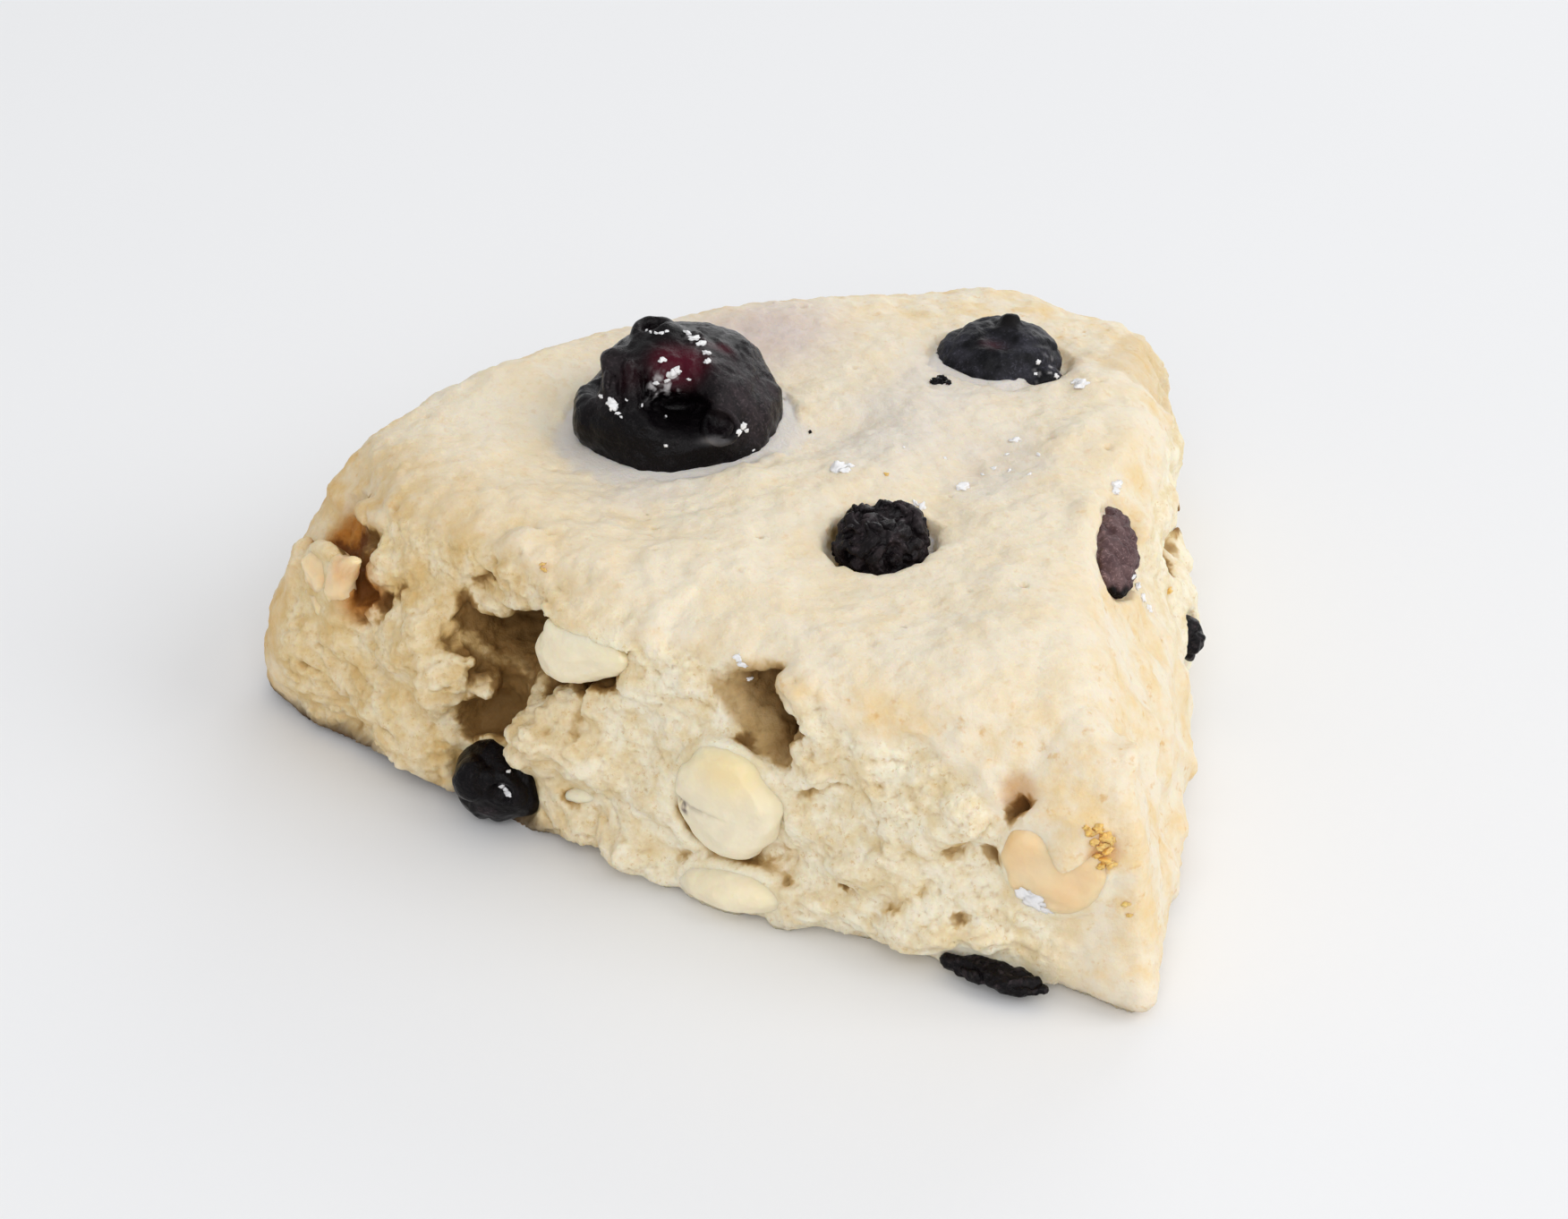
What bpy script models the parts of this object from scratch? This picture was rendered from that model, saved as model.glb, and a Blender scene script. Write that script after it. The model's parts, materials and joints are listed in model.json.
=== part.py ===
"""A berry scone: one wedge cut from a round of soft dough, baked with berries and white chocolate chips.

The wedge is laid out from its tip, which is the middle of the round that it was cut from, and every size
is in millimetres until it is turned into metres by MM. Angles are seen from above, with 0 along +X.
"""

from math import cos, radians, sin

import bmesh
import bpy
import numpy as np
from mathutils import Matrix, Vector, noise

MM = 0.001

# ---------------------------------------------------------------- driving dimensions
ROUND_RADIUS = 90.0  # of the round of dough, tip to baked rim
HEIGHT = 25.5  # of the crust over the middle of the wedge

# The plan of the wedge, as seen from its tip.
LEFT_CORNER = (-48.3, 79.0)
RIGHT_CORNER = (45.8, 69.6)
LEFT_BELLY = 6.2  # how far each cut side swells beyond a straight cut
RIGHT_BELLY = 3.0
CORNER_ROUND = 7.0
TIP_ROUND = 1.6

# The side of the wedge, from the table up: height as a share of HEIGHT, and how far in from the plan.
SIDE_PROFILE = [
    (0.000, 1.4),
    (0.025, 0.4),
    (0.090, -0.2),
    (0.250, 0.0),
    (0.450, 0.5),
    (0.620, 1.2),
    (0.760, 2.0),
    (0.860, 3.1),
    (0.930, 4.6),
    (0.975, 7.0),
    (1.000, 11.0),
]

GAP = 0.34  # between a berry or a chip and the dough that it sits in
CUTTER_SAG = 1.035  # the flats of a coarse ball lie this much inside its round
VOXEL = 0.85  # grain of the dough while it is being shaped
DOUGH_TRIANGLES = 10200
STROKE_DEPTH = 9.0  # how far under a face a stroke still moves the dough
SMALL_DEPTH = 4.0
NEARLY_DOWN = 0.5  # dough closer to the table than this rests on it

# The sides of the wedge: a point on each at the table, how far along the side that point is, the angle
# that the side runs at, and 1 or -1 for which way it faces.
FRONT_FACE = {"foot": (-24.5, 31.0), "at": 39.5, "angle": 118.4, "side": 1}
TIP_FACE = {"foot": (-6.6, 6.2), "at": 9.0, "angle": 134.0, "side": 1}
CORNER_FACE = {"foot": (-44.4, 70.0), "at": 83.0, "angle": 98.0, "side": 1}
RIGHT_FACE = {"foot": (23.5, 31.0), "at": 38.9, "angle": 55.5, "side": -1}
RIM_FACE = {"foot": (14.0, 88.6), "at": 0.0, "angle": 171.0, "side": -1}

COLOURS = {
    "crust": (0.80, 0.67, 0.43),
    "berry": (0.020, 0.016, 0.034),
    "split_berry": (0.105, 0.052, 0.072),
    "chip": (0.86, 0.78, 0.56),
    "toasted_chip": (0.80, 0.56, 0.32),
}


# ---------------------------------------------------------------- small helpers
def on_face(face, along, height, out=0.0):
    """The point of a cut face that lies `along` from the tip, at `height`, and `out` from the face."""
    run = Vector((cos(radians(face["angle"])), sin(radians(face["angle"])), 0))
    outward = Vector((-run.y, run.x, 0)) * face["side"]
    foot = Vector((*face["foot"], 0))
    return foot + run * (along - face["at"]) + outward * out + Vector((0, 0, height))


def face_axes(face, lean=0.0):
    """A cut face's own axes as columns: along it, up it and out of it. `lean` raises the far end."""
    run = Vector((cos(radians(face["angle"])), sin(radians(face["angle"])), 0))
    outward = Vector((-run.y, run.x, 0)) * face["side"]
    turn = Matrix.Rotation(radians(-face["side"] * lean), 3, outward)
    return Matrix((turn @ run, turn @ Vector((0, 0, 1)), outward)).transposed()


def flat_axes(angle=0.0):
    """Axes for something that lies on the crust: two level ones and up."""
    return Matrix.Rotation(radians(angle), 3, "Z")


def bake(obj):
    """Turns an object's modifiers into plain mesh."""
    graph = bpy.context.evaluated_depsgraph_get()
    obj.data = bpy.data.meshes.new_from_object(obj.evaluated_get(graph))
    obj.modifiers.clear()


def object_of(name, bm):
    """Makes an object of a bmesh that is in millimetres."""
    bmesh.ops.scale(bm, vec=(MM, MM, MM), verts=bm.verts)
    mesh = bpy.data.meshes.new(name)
    bm.to_mesh(mesh)
    bm.free()
    obj = bpy.data.objects.new(name, mesh)
    bpy.context.scene.collection.objects.link(obj)
    return obj


def points_of(obj):
    """The mesh's points in millimetres, as an array."""
    points = np.empty(len(obj.data.vertices) * 3)
    obj.data.vertices.foreach_get("co", points)
    return points.reshape(-1, 3) / MM


def set_points(obj, points):
    obj.data.vertices.foreach_set("co", (points * MM).ravel())
    obj.data.update()


def normals_of(obj):
    normals = np.empty(len(obj.data.vertices) * 3, np.float32)
    obj.data.vertex_normals.foreach_get("vector", normals)
    return normals.reshape(-1, 3).astype(float)


def remesh(obj, voxel):
    modifier = obj.modifiers.new("Remesh", "REMESH")
    modifier.mode = "VOXEL"
    modifier.voxel_size = voxel * MM
    bake(obj)


def thin_out(obj, triangles):
    """Leaves about this many triangles, the most of them where the surface bends."""
    modifier = obj.modifiers.new("Decimate", "DECIMATE")
    modifier.use_collapse_triangulate = True
    modifier.ratio = triangles / sum(len(face.vertices) - 2 for face in obj.data.polygons)
    bake(obj)


def smooth_step(low, high, values):
    share = np.clip((values - low) / (high - low), 0, 1)
    return share * share * (3 - 2 * share)


def material(name, colour, roughness):
    made = bpy.data.materials.new(name)
    made.use_nodes = True
    shader = made.node_tree.nodes["Principled BSDF"]
    shader.inputs["Base Color"].default_value = (*colour, 1)
    shader.inputs["Roughness"].default_value = roughness
    made.diffuse_color = (*colour, 1)
    return made


# ---------------------------------------------------------------- the wedge of dough
def rounded_corner(before, corner, after, radius, steps):
    """Points of an arc that rounds the corner between two straight stretches."""
    into = (corner - before).normalized()
    away = (after - corner).normalized()
    turn = into.angle(away)
    reach = radius * np.tan(turn / 2)
    start, end = corner - into * reach, corner + away * reach
    return [
        (start.lerp(corner, k / steps)).lerp(corner.lerp(end, k / steps), k / steps)
        for k in range(steps + 1)
    ]


def plan_outline(steps=46):
    """The wedge from above, tip first, up the left cut, round the baked rim and down the right cut."""
    tip = Vector((0, 0))
    left, right = Vector(LEFT_CORNER), Vector(RIGHT_CORNER)

    def cut(corner, belly, side):
        run = corner.normalized()
        outward = Vector((-run.y, run.x)) * side
        shares = [k / steps for k in range(1, steps)]
        return [corner * s + outward * belly * 4 * s * (1 - s) for s in shares]

    rim = []
    first, last = np.arctan2(left.y, left.x), np.arctan2(right.y, right.x)
    for k in range(1, steps):
        angle = first + (last - first) * k / steps
        swell = 1 - (2 * k / steps - 1) ** 2
        reach = left.length + (right.length - left.length) * k / steps
        reach += (ROUND_RADIUS - reach) * min(1, 2.4 * swell)
        rim.append(Vector((cos(angle), sin(angle))) * reach)
    left_cut = cut(left, LEFT_BELLY, 1)
    right_cut = cut(right, RIGHT_BELLY, -1)[::-1]
    keep = round(CORNER_ROUND / ROUND_RADIUS * steps)
    outline = rounded_corner(right_cut[-1], tip, left_cut[0], TIP_ROUND, 6)
    outline += left_cut[1:-keep]
    outline += rounded_corner(left_cut[-keep], left, rim[keep], CORNER_ROUND, 8)
    outline += rim[keep + 1 : -keep]
    outline += rounded_corner(rim[-keep], right, right_cut[keep], CORNER_ROUND, 8)
    outline += right_cut[keep + 1 : -1]
    return outline


def inset(outline, distance):
    """The outline moved in towards the wedge's middle line, which runs from near the tip to near the rim."""
    moved = []
    for point in outline:
        middle = Vector((0, min(max(point.y, 16.0), ROUND_RADIUS - 26.0)))
        moved.append(point + (middle - point).normalized() * distance)
    return moved


def wedge_blank():
    """The wedge with its rounded crust, as rings of points joined upwards and capped."""
    bm = bmesh.new()
    outline = plan_outline()[::-1]
    rings = [
        [bm.verts.new((p.x, p.y, share * HEIGHT)) for p in inset(outline, distance)]
        for share, distance in SIDE_PROFILE
    ]
    for low, high in zip(rings, rings[1:]):
        for k in range(len(outline)):
            n = (k + 1) % len(outline)
            bm.faces.new((low[k], low[n], high[n], high[k]))
    bm.faces.new(rings[0][::-1])
    bm.faces.new(rings[-1])
    bmesh.ops.recalc_face_normals(bm, faces=bm.faces)
    return object_of("dough", bm)


def stroke(points, centre, axes, reach, push, crisp=1.0):
    """Pushes the points near `centre` by the vector `push`, like a thumb in soft dough.

    `reach` is how far the stroke goes along each of `axes`. A higher `crisp` gives it a flat floor and a
    steep edge.
    """
    local = (points - np.array(centre)) @ np.array(axes) / np.array(reach)
    far = (local**2).sum(axis=1) ** crisp
    return points + np.exp(-1.6 * far)[:, None] * np.array(push)


def face_stroke(points, face, along, height, reach, depth, lean=0.0, crisp=1.0):
    """A stroke on a cut face: `depth` pushes it in and a negative one pulls it out."""
    axes = face_axes(face, lean)
    push = -axes.col[2] * depth
    return stroke(points, on_face(face, along, height), axes, (*reach, STROKE_DEPTH), push, crisp)


def crust_stroke(points, x, y, reach, depth, angle=0.0, crisp=1.0):
    """A stroke on the crust, straight down for a positive depth."""
    centre = Vector((x, y, HEIGHT))
    return stroke(points, centre, flat_axes(angle), (*reach, STROKE_DEPTH), (0, 0, -depth), crisp)


def shape_crust(points):
    """The crust's slow rise and fall, and the hollows that its berries sank into."""
    points = crust_stroke(points, 40, 76, (25, 19), 4.2)  # the far corner stayed thinner
    points = crust_stroke(points, -48, 76, (12, 13), 6.2)
    points = crust_stroke(points, -9, 66, (14, 12), 0.9)  # the puddle round the burst berry
    points = crust_stroke(points, 3, 58, (7, 3), 1.0, angle=20)
    points = crust_stroke(points, 22, 64, (10, 8), 0.8)  # round the berry at the back
    points = crust_stroke(points, 14, 50, (15, 5), 1.1, angle=38)
    points = crust_stroke(points, -5, 39.5, (6.5, 4.8), 0.9)  # round the shrivelled berry
    points = crust_stroke(points, -21, 44, (11, 5), -1.2, angle=-55)
    points = crust_stroke(points, 0, 24, (8, 8), -0.9)
    points = crust_stroke(points, 11, 90, (4.5, 9), 1.6)  # a dip in the rim between two lobes
    points = crust_stroke(points, -18, 82, (13, 7), -0.5)
    return crust_stroke(points, 0, -1, (9, 12), 3.0)  # the tip droops


def shape_front(points):
    """The torn cut side that faces the viewer: a cave under the crust, folds, lumps and pockets."""
    front = FRONT_FACE
    # The cave, its end under the chip, its tail over the berry at the foot, and the brow above it.
    points = face_stroke(points, front, 61.2, 17.8, (5.4, 5.6), 12.0, lean=-12, crisp=3.0)
    points = face_stroke(points, front, 54.0, 15.6, (5.6, 2.3), 8.0, lean=-4, crisp=2.4)
    points = face_stroke(points, front, 62.2, 10.0, (2.6, 4.6), 5.5, lean=20, crisp=1.8)
    points = face_stroke(points, front, 67.5, 20.4, (6.0, 2.8), 2.0, lean=-8)
    points = face_stroke(points, front, 57.0, 24.2, (8.0, 1.8), -1.6)
    # The ledge that the cave rests on.
    points = face_stroke(points, front, 56.3, 12.4, (3.2, 2.2), -2.6, crisp=1.5)
    points = face_stroke(points, front, 57.0, 8.6, (2.2, 2.4), -1.2)
    points = face_stroke(points, front, 51.5, 10.6, (5.0, 3.4), -1.6, lean=12)
    points = face_stroke(points, front, 51.0, 6.2, (6.0, 0.9), 1.0, lean=-10)
    points = face_stroke(points, front, 46.4, 3.0, (3.6, 2.6), -2.2, crisp=1.4)
    # Lumps to the left of the cave, with a pale ridge standing out.
    points = face_stroke(points, front, 69.8, 17.4, (2.6, 2.2), -1.7)
    points = face_stroke(points, front, 71.4, 14.2, (2.4, 1.8), -1.2)
    points = face_stroke(points, front, 67.6, 11.0, (1.6, 3.2), -2.8, lean=16, crisp=1.5)
    points = face_stroke(points, front, 71.5, 4.4, (7.0, 4.0), -2.4)
    # The second, smaller cavity and the hollow beside it.
    points = face_stroke(points, front, 33.6, 20.0, (4.0, 3.0), 6.5, lean=35, crisp=2.4)
    points = face_stroke(points, front, 31.6, 18.0, (2.4, 2.0), 4.0, lean=10, crisp=2.0)
    points = face_stroke(points, front, 38.4, 19.4, (3.8, 2.6), 2.6, crisp=1.3)
    # Folds near the tip, and the lip of dough along the table.
    points = face_stroke(points, front, 27.0, 7.0, (4.4, 0.9), 1.4, lean=-21, crisp=1.4)
    points = face_stroke(points, front, 22.6, 12.2, (5.2, 0.9), 1.3, lean=-32, crisp=1.4)
    points = face_stroke(points, front, 24.0, 9.7, (6.0, 1.4), -1.3, lean=-27)
    points = face_stroke(points, front, 14.6, 9.2, (3.6, 0.8), 1.0, lean=-10)
    points = face_stroke(points, front, 20.6, 3.0, (5.6, 2.8), -2.4)
    points = face_stroke(points, front, 29.0, 2.0, (4.0, 2.0), -0.5)
    return points


def shape_ends(points):
    """The pocket at the tip with its thin toe, and the pocket at the far left corner."""
    tip, corner = TIP_FACE, CORNER_FACE
    points = face_stroke(points, tip, 8.6, 13.2, (4.6, 4.8), 1.8, crisp=2.0)
    points = face_stroke(points, tip, 5.2, 19.6, (2.2, 2.2), -1.0)
    points = face_stroke(points, tip, 3.0, 2.6, (5.0, 2.8), -1.8)
    points = stroke(points, (0, 0, 1.5), flat_axes(), (4.0, 4.0, 4.0), (-0.6, -2.2, 0))
    points = stroke(points, (-47, 79, 19), flat_axes(), (10, 10, 8), (1.6, -0.8, -1.1))
    points = face_stroke(points, corner, 78.6, 20.6, (2.2, 2.2), 5.5, lean=20, crisp=1.8)
    points = face_stroke(points, corner, 75.8, 17.4, (1.5, 3.0), 5.0, lean=-10, crisp=1.8)
    points = face_stroke(points, corner, 87.4, 5.0, (2.0, 1.4), -1.8)  # a flake that stands out
    points = face_stroke(points, corner, 86.0, 21.0, (8.0, 6.0), 4.8)
    return face_stroke(points, corner, 85.0, 9.0, (6.0, 6.0), -1.8)


def shape_right(points):
    """The other cut side, torn in the same way."""
    right = RIGHT_FACE
    points = face_stroke(points, right, 30.0, 26.0, (26.0, 13.0), 6.0)  # it leans back to its rim
    points = face_stroke(points, right, 52.0, 13.0, (6.0, 3.0), 3.4, lean=-14, crisp=1.8)
    points = face_stroke(points, right, 18.0, 12.5, (6.0, 2.2), 2.2, lean=18, crisp=1.6)
    points = face_stroke(points, right, 66.0, 7.0, (5.0, 3.0), 2.4, lean=8, crisp=1.6)
    points = face_stroke(points, right, 60.0, 19.0, (9.0, 2.4), -1.0)
    points = face_stroke(points, right, 34.0, 9.0, (7.0, 3.0), -0.6, lean=12)
    points = face_stroke(points, right, 43.0, 6.0, (7.0, 1.2), 1.2, lean=-10)
    return face_stroke(points, right, 28.0, 4.0, (6.0, 2.0), -0.8)


def shape_underside(points):
    """The lower edges curl up from the table a little, most of all on the left of the cut side."""
    for along, reach, lift in ((74.0, 15.0, 1.2), (24.0, 9.0, 0.8), (52.0, 6.0, 0.6)):
        centre = on_face(FRONT_FACE, along, 0.0, out=1.0)
        axes = face_axes(FRONT_FACE)
        points = stroke(points, centre, axes, (reach, 5.0, SMALL_DEPTH), (0, 0, lift), 1.5)
    for along in (22.0, 58.0):
        centre, axes = on_face(RIGHT_FACE, along, 0.0, out=1.5), face_axes(RIGHT_FACE)
        points = stroke(points, centre, axes, (12.0, 5.0, SMALL_DEPTH), (0, 0, 0.9), 1.5)
    return points


def torn(points):
    """How torn the surface is at each point: 1 on the cut sides, 0 on the crust, the rim and the tip."""
    share = np.zeros(len(points))
    for face in (FRONT_FACE, RIGHT_FACE):
        axes = np.array(face_axes(face))
        out = (points - np.array(on_face(face, 0, 0))) @ axes[:, 2]
        share = np.maximum(share, smooth_step(-9.0, -4.0, out))
    from_tip = np.hypot(points[:, 0], points[:, 1])
    share *= smooth_step(4, 14, from_tip) * smooth_step(86, 78, from_tip)
    return share * smooth_step(23.5, 20.0, points[:, 2])


def crumb_relief(points, normals):
    """Roughness of the dough: lumps and pores where it is torn, and slow waves on the crust."""
    share = torn(points)
    moved = points.copy()
    for k, point in enumerate(points):
        place = Vector(point)
        waves = noise.noise(place / 13.0) * 1.0 + noise.noise(place / 6.0) * 0.35
        lumps = noise.fractal(place / 5.2, 1.0, 2.1, 3) * 1.5
        cracks = 1 - abs(noise.noise(Vector((place.x, place.y, place.z * 1.8)) / 4.4)) * 5
        tears = -0.9 * max(0.0, cracks)
        moved[k] += normals[k] * (waves * (1 - 0.4 * share[k]) + (lumps + tears) * share[k])
    flat = smooth_step(-0.6, -0.9, normals[:, 2])[:, None]
    return points * flat + moved * (1 - flat)


def press(points, piece):
    """Moves the dough out of the way of a berry or a chip, into the dough along the piece's `into`."""
    axes, reach = np.array(piece["axes"]), np.array(piece["reach"]) + GAP + 0.1
    local = (points - np.array(piece["centre"])) @ axes / reach
    into = np.array(piece["into"]) @ axes / reach
    a, b = into @ into, local @ into
    c = (local**2).sum(axis=1) - 1
    inside = c < 0
    travel = np.zeros(len(points))
    travel[inside] = (-b[inside] + np.sqrt(b[inside] ** 2 - a * c[inside])) / a
    return points + travel[:, None] * np.array(piece["into"])


def carve(obj, piece):
    """Cuts away what thinning out the dough has left in a piece's place."""
    cutter = unit_ball("cutter", piece.get("dome", 2), subdivisions=2)
    place(cutter, {**piece, "reach": [(r + GAP) * CUTTER_SAG for r in piece["reach"]]})
    modifier = obj.modifiers.new("Boolean", "BOOLEAN")
    modifier.object = cutter
    modifier.operation = "DIFFERENCE"
    modifier.solver = "EXACT"
    bake(obj)
    bpy.data.objects.remove(cutter)


def stand_flat(points):
    """Levels the underside: what is nearly on the table is on it, and nothing is below it."""
    points[:, 2] = np.where(points[:, 2] < NEARLY_DOWN, 0.0, points[:, 2])
    return points


def make_dough(pieces):
    obj = wedge_blank()
    remesh(obj, VOXEL)
    points = points_of(obj)
    for shape in (shape_crust, shape_front, shape_ends, shape_right, shape_underside):
        points = shape(points)
    set_points(obj, points)
    remesh(obj, VOXEL)
    set_points(obj, crumb_relief(points_of(obj), normals_of(obj)))
    remesh(obj, VOXEL)
    points = points_of(obj)
    for piece in pieces:
        points = press(points, piece)
    set_points(obj, stand_flat(points))
    thin_out(obj, DOUGH_TRIANGLES)
    for piece in pieces:
        carve(obj, piece)
    thin_out(obj, DOUGH_TRIANGLES)
    set_points(obj, stand_flat(points_of(obj)))
    obj.data.materials.append(material("crust", COLOURS["crust"], 0.75))
    return obj


# ---------------------------------------------------------------- berries and chips
def on_crust(x, y, height, reach, angle=0.0, dome=2.0):
    """A piece that sits in the crust, with its middle at `height` over the table."""
    return {
        "centre": Vector((x, y, height)),
        "axes": flat_axes(angle),
        "reach": reach,
        "into": Vector((0, 0, -1)),
        "dome": dome,
    }


def in_face(face, along, height, out, reach, lean=0.0, tilt=0.0):
    """A piece that sits in a cut face, reach being along, up and out of it. `tilt` turns it skyward."""
    axes = face_axes(face, lean)
    axes = Matrix.Rotation(radians(face["side"] * tilt), 3, axes.col[0]) @ axes
    return {
        "centre": on_face(face, along, height, out),
        "axes": axes,
        "reach": reach,
        "into": -axes.col[2],
    }


PIECES = {
    # Berries in the crust.
    "berry_burst": on_crust(-9.4, 66.0, 25.0, (10.2, 9.4, 8.0), 25, dome=2.5),
    "berry_back": on_crust(22.8, 63.8, 23.1, (6.6, 5.9, 4.3), 10),
    "berry_shrivelled": on_crust(-3.4, 39.4, 24.6, (4.8, 4.2, 4.2), 30),
    # Berries in the sides, two of them where they are out of sight, and shreds of skin.
    "berry_edge": in_face(RIGHT_FACE, 35.5, 22.0, -7.2, (6.4, 2.9, 1.9), tilt=33),
    "berry_foot": in_face(FRONT_FACE, 61.4, 3.9, 0.9, (4.2, 3.9, 3.6)),
    "berry_right": in_face(RIGHT_FACE, 23.0, 9.0, -4.8, (4.8, 4.4, 3.2), lean=20),
    "berry_rim": in_face(RIM_FACE, 0.0, 10.5, -2.0, (5.6, 4.8, 3.6), lean=-15),
    "berry_skin": in_face(FRONT_FACE, 13.2, 1.6, -2.6, (5.7, 1.0, 2.0)),
    "berry_shard": in_face(RIGHT_FACE, 45.6, 7.0, -0.6, (2.4, 2.2, 2.4)),
    # White chocolate chips in the sides, one of them out of sight.
    "chip_face": in_face(FRONT_FACE, 37.2, 11.2, 0.2, (5.2, 5.6, 3.2)),
    "chip_lip": in_face(FRONT_FACE, 53.0, 19.8, -0.9, (4.7, 2.9, 2.8), -28),
    "chip_low": in_face(FRONT_FACE, 36.6, 2.8, 0.4, (5.6, 2.2, 3.0), -8),
    "chip_sliver": in_face(FRONT_FACE, 53.0, 5.6, -0.3, (3.0, 0.8, 1.6), -10),
    "chip_tip": in_face(TIP_FACE, 8.4, 13.0, -1.0, (4.5, 5.0, 2.0)),
    "chip_corner": in_face(CORNER_FACE, 81.6, 15.6, -1.4, (3.4, 4.0, 2.2), 15),
    "chip_right": in_face(RIGHT_FACE, 60.0, 12.0, -4.4, (4.9, 4.6, 2.8), lean=30),
}
KNOB = (0.0, 0.32, 1.0)  # on the burst berry, in shares of its reach

KINDS = {
    "berry_edge": "split_berry",
    "chip_tip": "toasted_chip",
    "chip_corner": "toasted_chip",
}


def place(obj, piece):
    """Turns a unit body that was built round the origin into the piece, where it sits."""
    points = points_of(obj) * np.array(piece["reach"])
    points = points @ np.array(piece["axes"]).T + np.array(piece["centre"])
    set_points(obj, points)
    if np.linalg.det(np.array(piece["axes"])) < 0:  # left-handed axes turned it inside out
        obj.data.flip_normals()


def unit_ball(name, dome=2.0, subdivisions=3):
    """A ball of radius 1. Its upper half is a taller, flatter dome where `dome` is more than 2."""
    bm = bmesh.new()
    bmesh.ops.create_icosphere(bm, subdivisions=subdivisions, radius=1)
    for vert in bm.verts:
        if vert.co.z > 0:
            around = vert.co.xy.length
            vert.co /= (around**dome + vert.co.z**dome) ** (1 / dome)
    return object_of(name, bm)


def wrinkled(points, depth, size, seed):
    """Draws a skin in along creases, and never pushes it out."""
    drawn = points.copy()
    for k, point in enumerate(points):
        where = Vector(point) / size + Vector((seed, seed * 1.7, 0))
        crease = 1 - min(1, abs(noise.noise(where)) * 4)
        dent = 0.5 - 0.5 * noise.noise(where * 0.5)
        drawn[k] *= 1 - depth * crease - depth * dent
    return drawn


def burst_open(points):
    """The top of the burst berry: its lid pushed up, a hollow in front, a step on the left and a knob."""
    level = flat_axes()
    points = stroke(points, (-0.09, 0.20, 0.85), level, (0.38, 0.38, 0.4), (0, 0, 0.09))
    points = stroke(points, (-0.48, -0.58, 0.62), level, (0.36, 0.30, 0.4), (0.10, 0.12, -0.12))
    points = stroke(points, (-0.40, 0.66, 0.62), level, (0.28, 0.30, 0.3), (0.12, -0.14, -0.10))
    points = stroke(points, (0.37, -0.37, 0.85), level, (0.40, 0.24, 0.3), (0, 0, 0.06))
    return stroke(points, KNOB, level, (0.17, 0.18, 0.4), (0, 0, 0.20), 2.0)


def make_berry(name, depth, size, seed, triangles, opened=None):
    """A berry whose skin is drawn in by `depth` of its radius, in creases about `size` of it apart."""
    piece = PIECES[name]
    obj = unit_ball(name, piece.get("dome", 2))
    points = wrinkled(points_of(obj), depth, size, seed)
    if opened:
        points = opened(points)
    set_points(obj, points)
    place(obj, piece)
    thin_out(obj, triangles)
    obj.data.materials.append(bpy.data.materials[KINDS.get(name, "berry")])


def make_chip(name, triangles=160):
    """A chip: a shallow dome outside, and the blunt cone of its drop inside."""
    obj = unit_ball(name)
    points = points_of(obj)
    behind = points[:, 2] < 0
    points[behind, :2] *= 1 + 0.55 * points[behind, 2:]
    set_points(obj, points)
    place(obj, PIECES[name])
    thin_out(obj, triangles)
    obj.data.materials.append(bpy.data.materials[KINDS.get(name, "chip")])


def make_toppings():
    for name in ("berry", "split_berry", "chip", "toasted_chip"):
        material(name, COLOURS[name], 0.35)
    make_berry("berry_burst", 0.06, 0.6, 3.1, 560, burst_open)
    make_berry("berry_back", 0.05, 0.7, 5.3, 260)
    make_berry("berry_shrivelled", 0.12, 0.35, 7.7, 360)
    make_berry("berry_edge", 0.06, 0.6, 9.2, 200)
    make_berry("berry_foot", 0.06, 0.8, 1.4, 200)
    make_berry("berry_skin", 0.10, 0.4, 2.6, 140)
    make_berry("berry_shard", 0.10, 0.5, 4.9, 100)
    make_berry("berry_right", 0.08, 0.6, 6.1, 180)
    make_berry("berry_rim", 0.06, 0.6, 8.3, 180)
    for name in PIECES:
        if name.startswith("chip"):
            make_chip(name)


def stand_on_origin():
    """Moves everything so that the origin is under the middle of the whole, and returns the tip's place."""
    everything = np.concatenate([points_of(obj) for obj in bpy.data.objects])
    low, high = everything.min(axis=0), everything.max(axis=0)
    tip = Vector((-(low[0] + high[0]) / 2, -(low[1] + high[1]) / 2, 0))
    for obj in bpy.data.objects:
        obj.data.transform(Matrix.Translation(tip * MM))
    return tip


def main():
    for obj in list(bpy.data.objects):
        bpy.data.objects.remove(obj)
    make_dough(PIECES.values())
    make_toppings()
    for obj in bpy.data.objects:
        obj.data.shade_smooth()
    return stand_on_origin()


tip_place = main()
print("The tip stands at", [round(value, 2) for value in tip_place], "mm")
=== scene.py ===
# %% [markdown]
# # A berry scone, finished in Blender
#
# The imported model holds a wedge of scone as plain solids: the dough, nine berries or bits of berry skin, and
# seven white chocolate chips. This lesson gives each of them the surface of the real thing. The solids stay
# where they are and keep their size. What changes is the fine shape and the finish: a smooth pale crust with
# a thin sugar glaze, a torn crumb full of little pores and folds, shiny burst berries and waxy chips.

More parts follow.
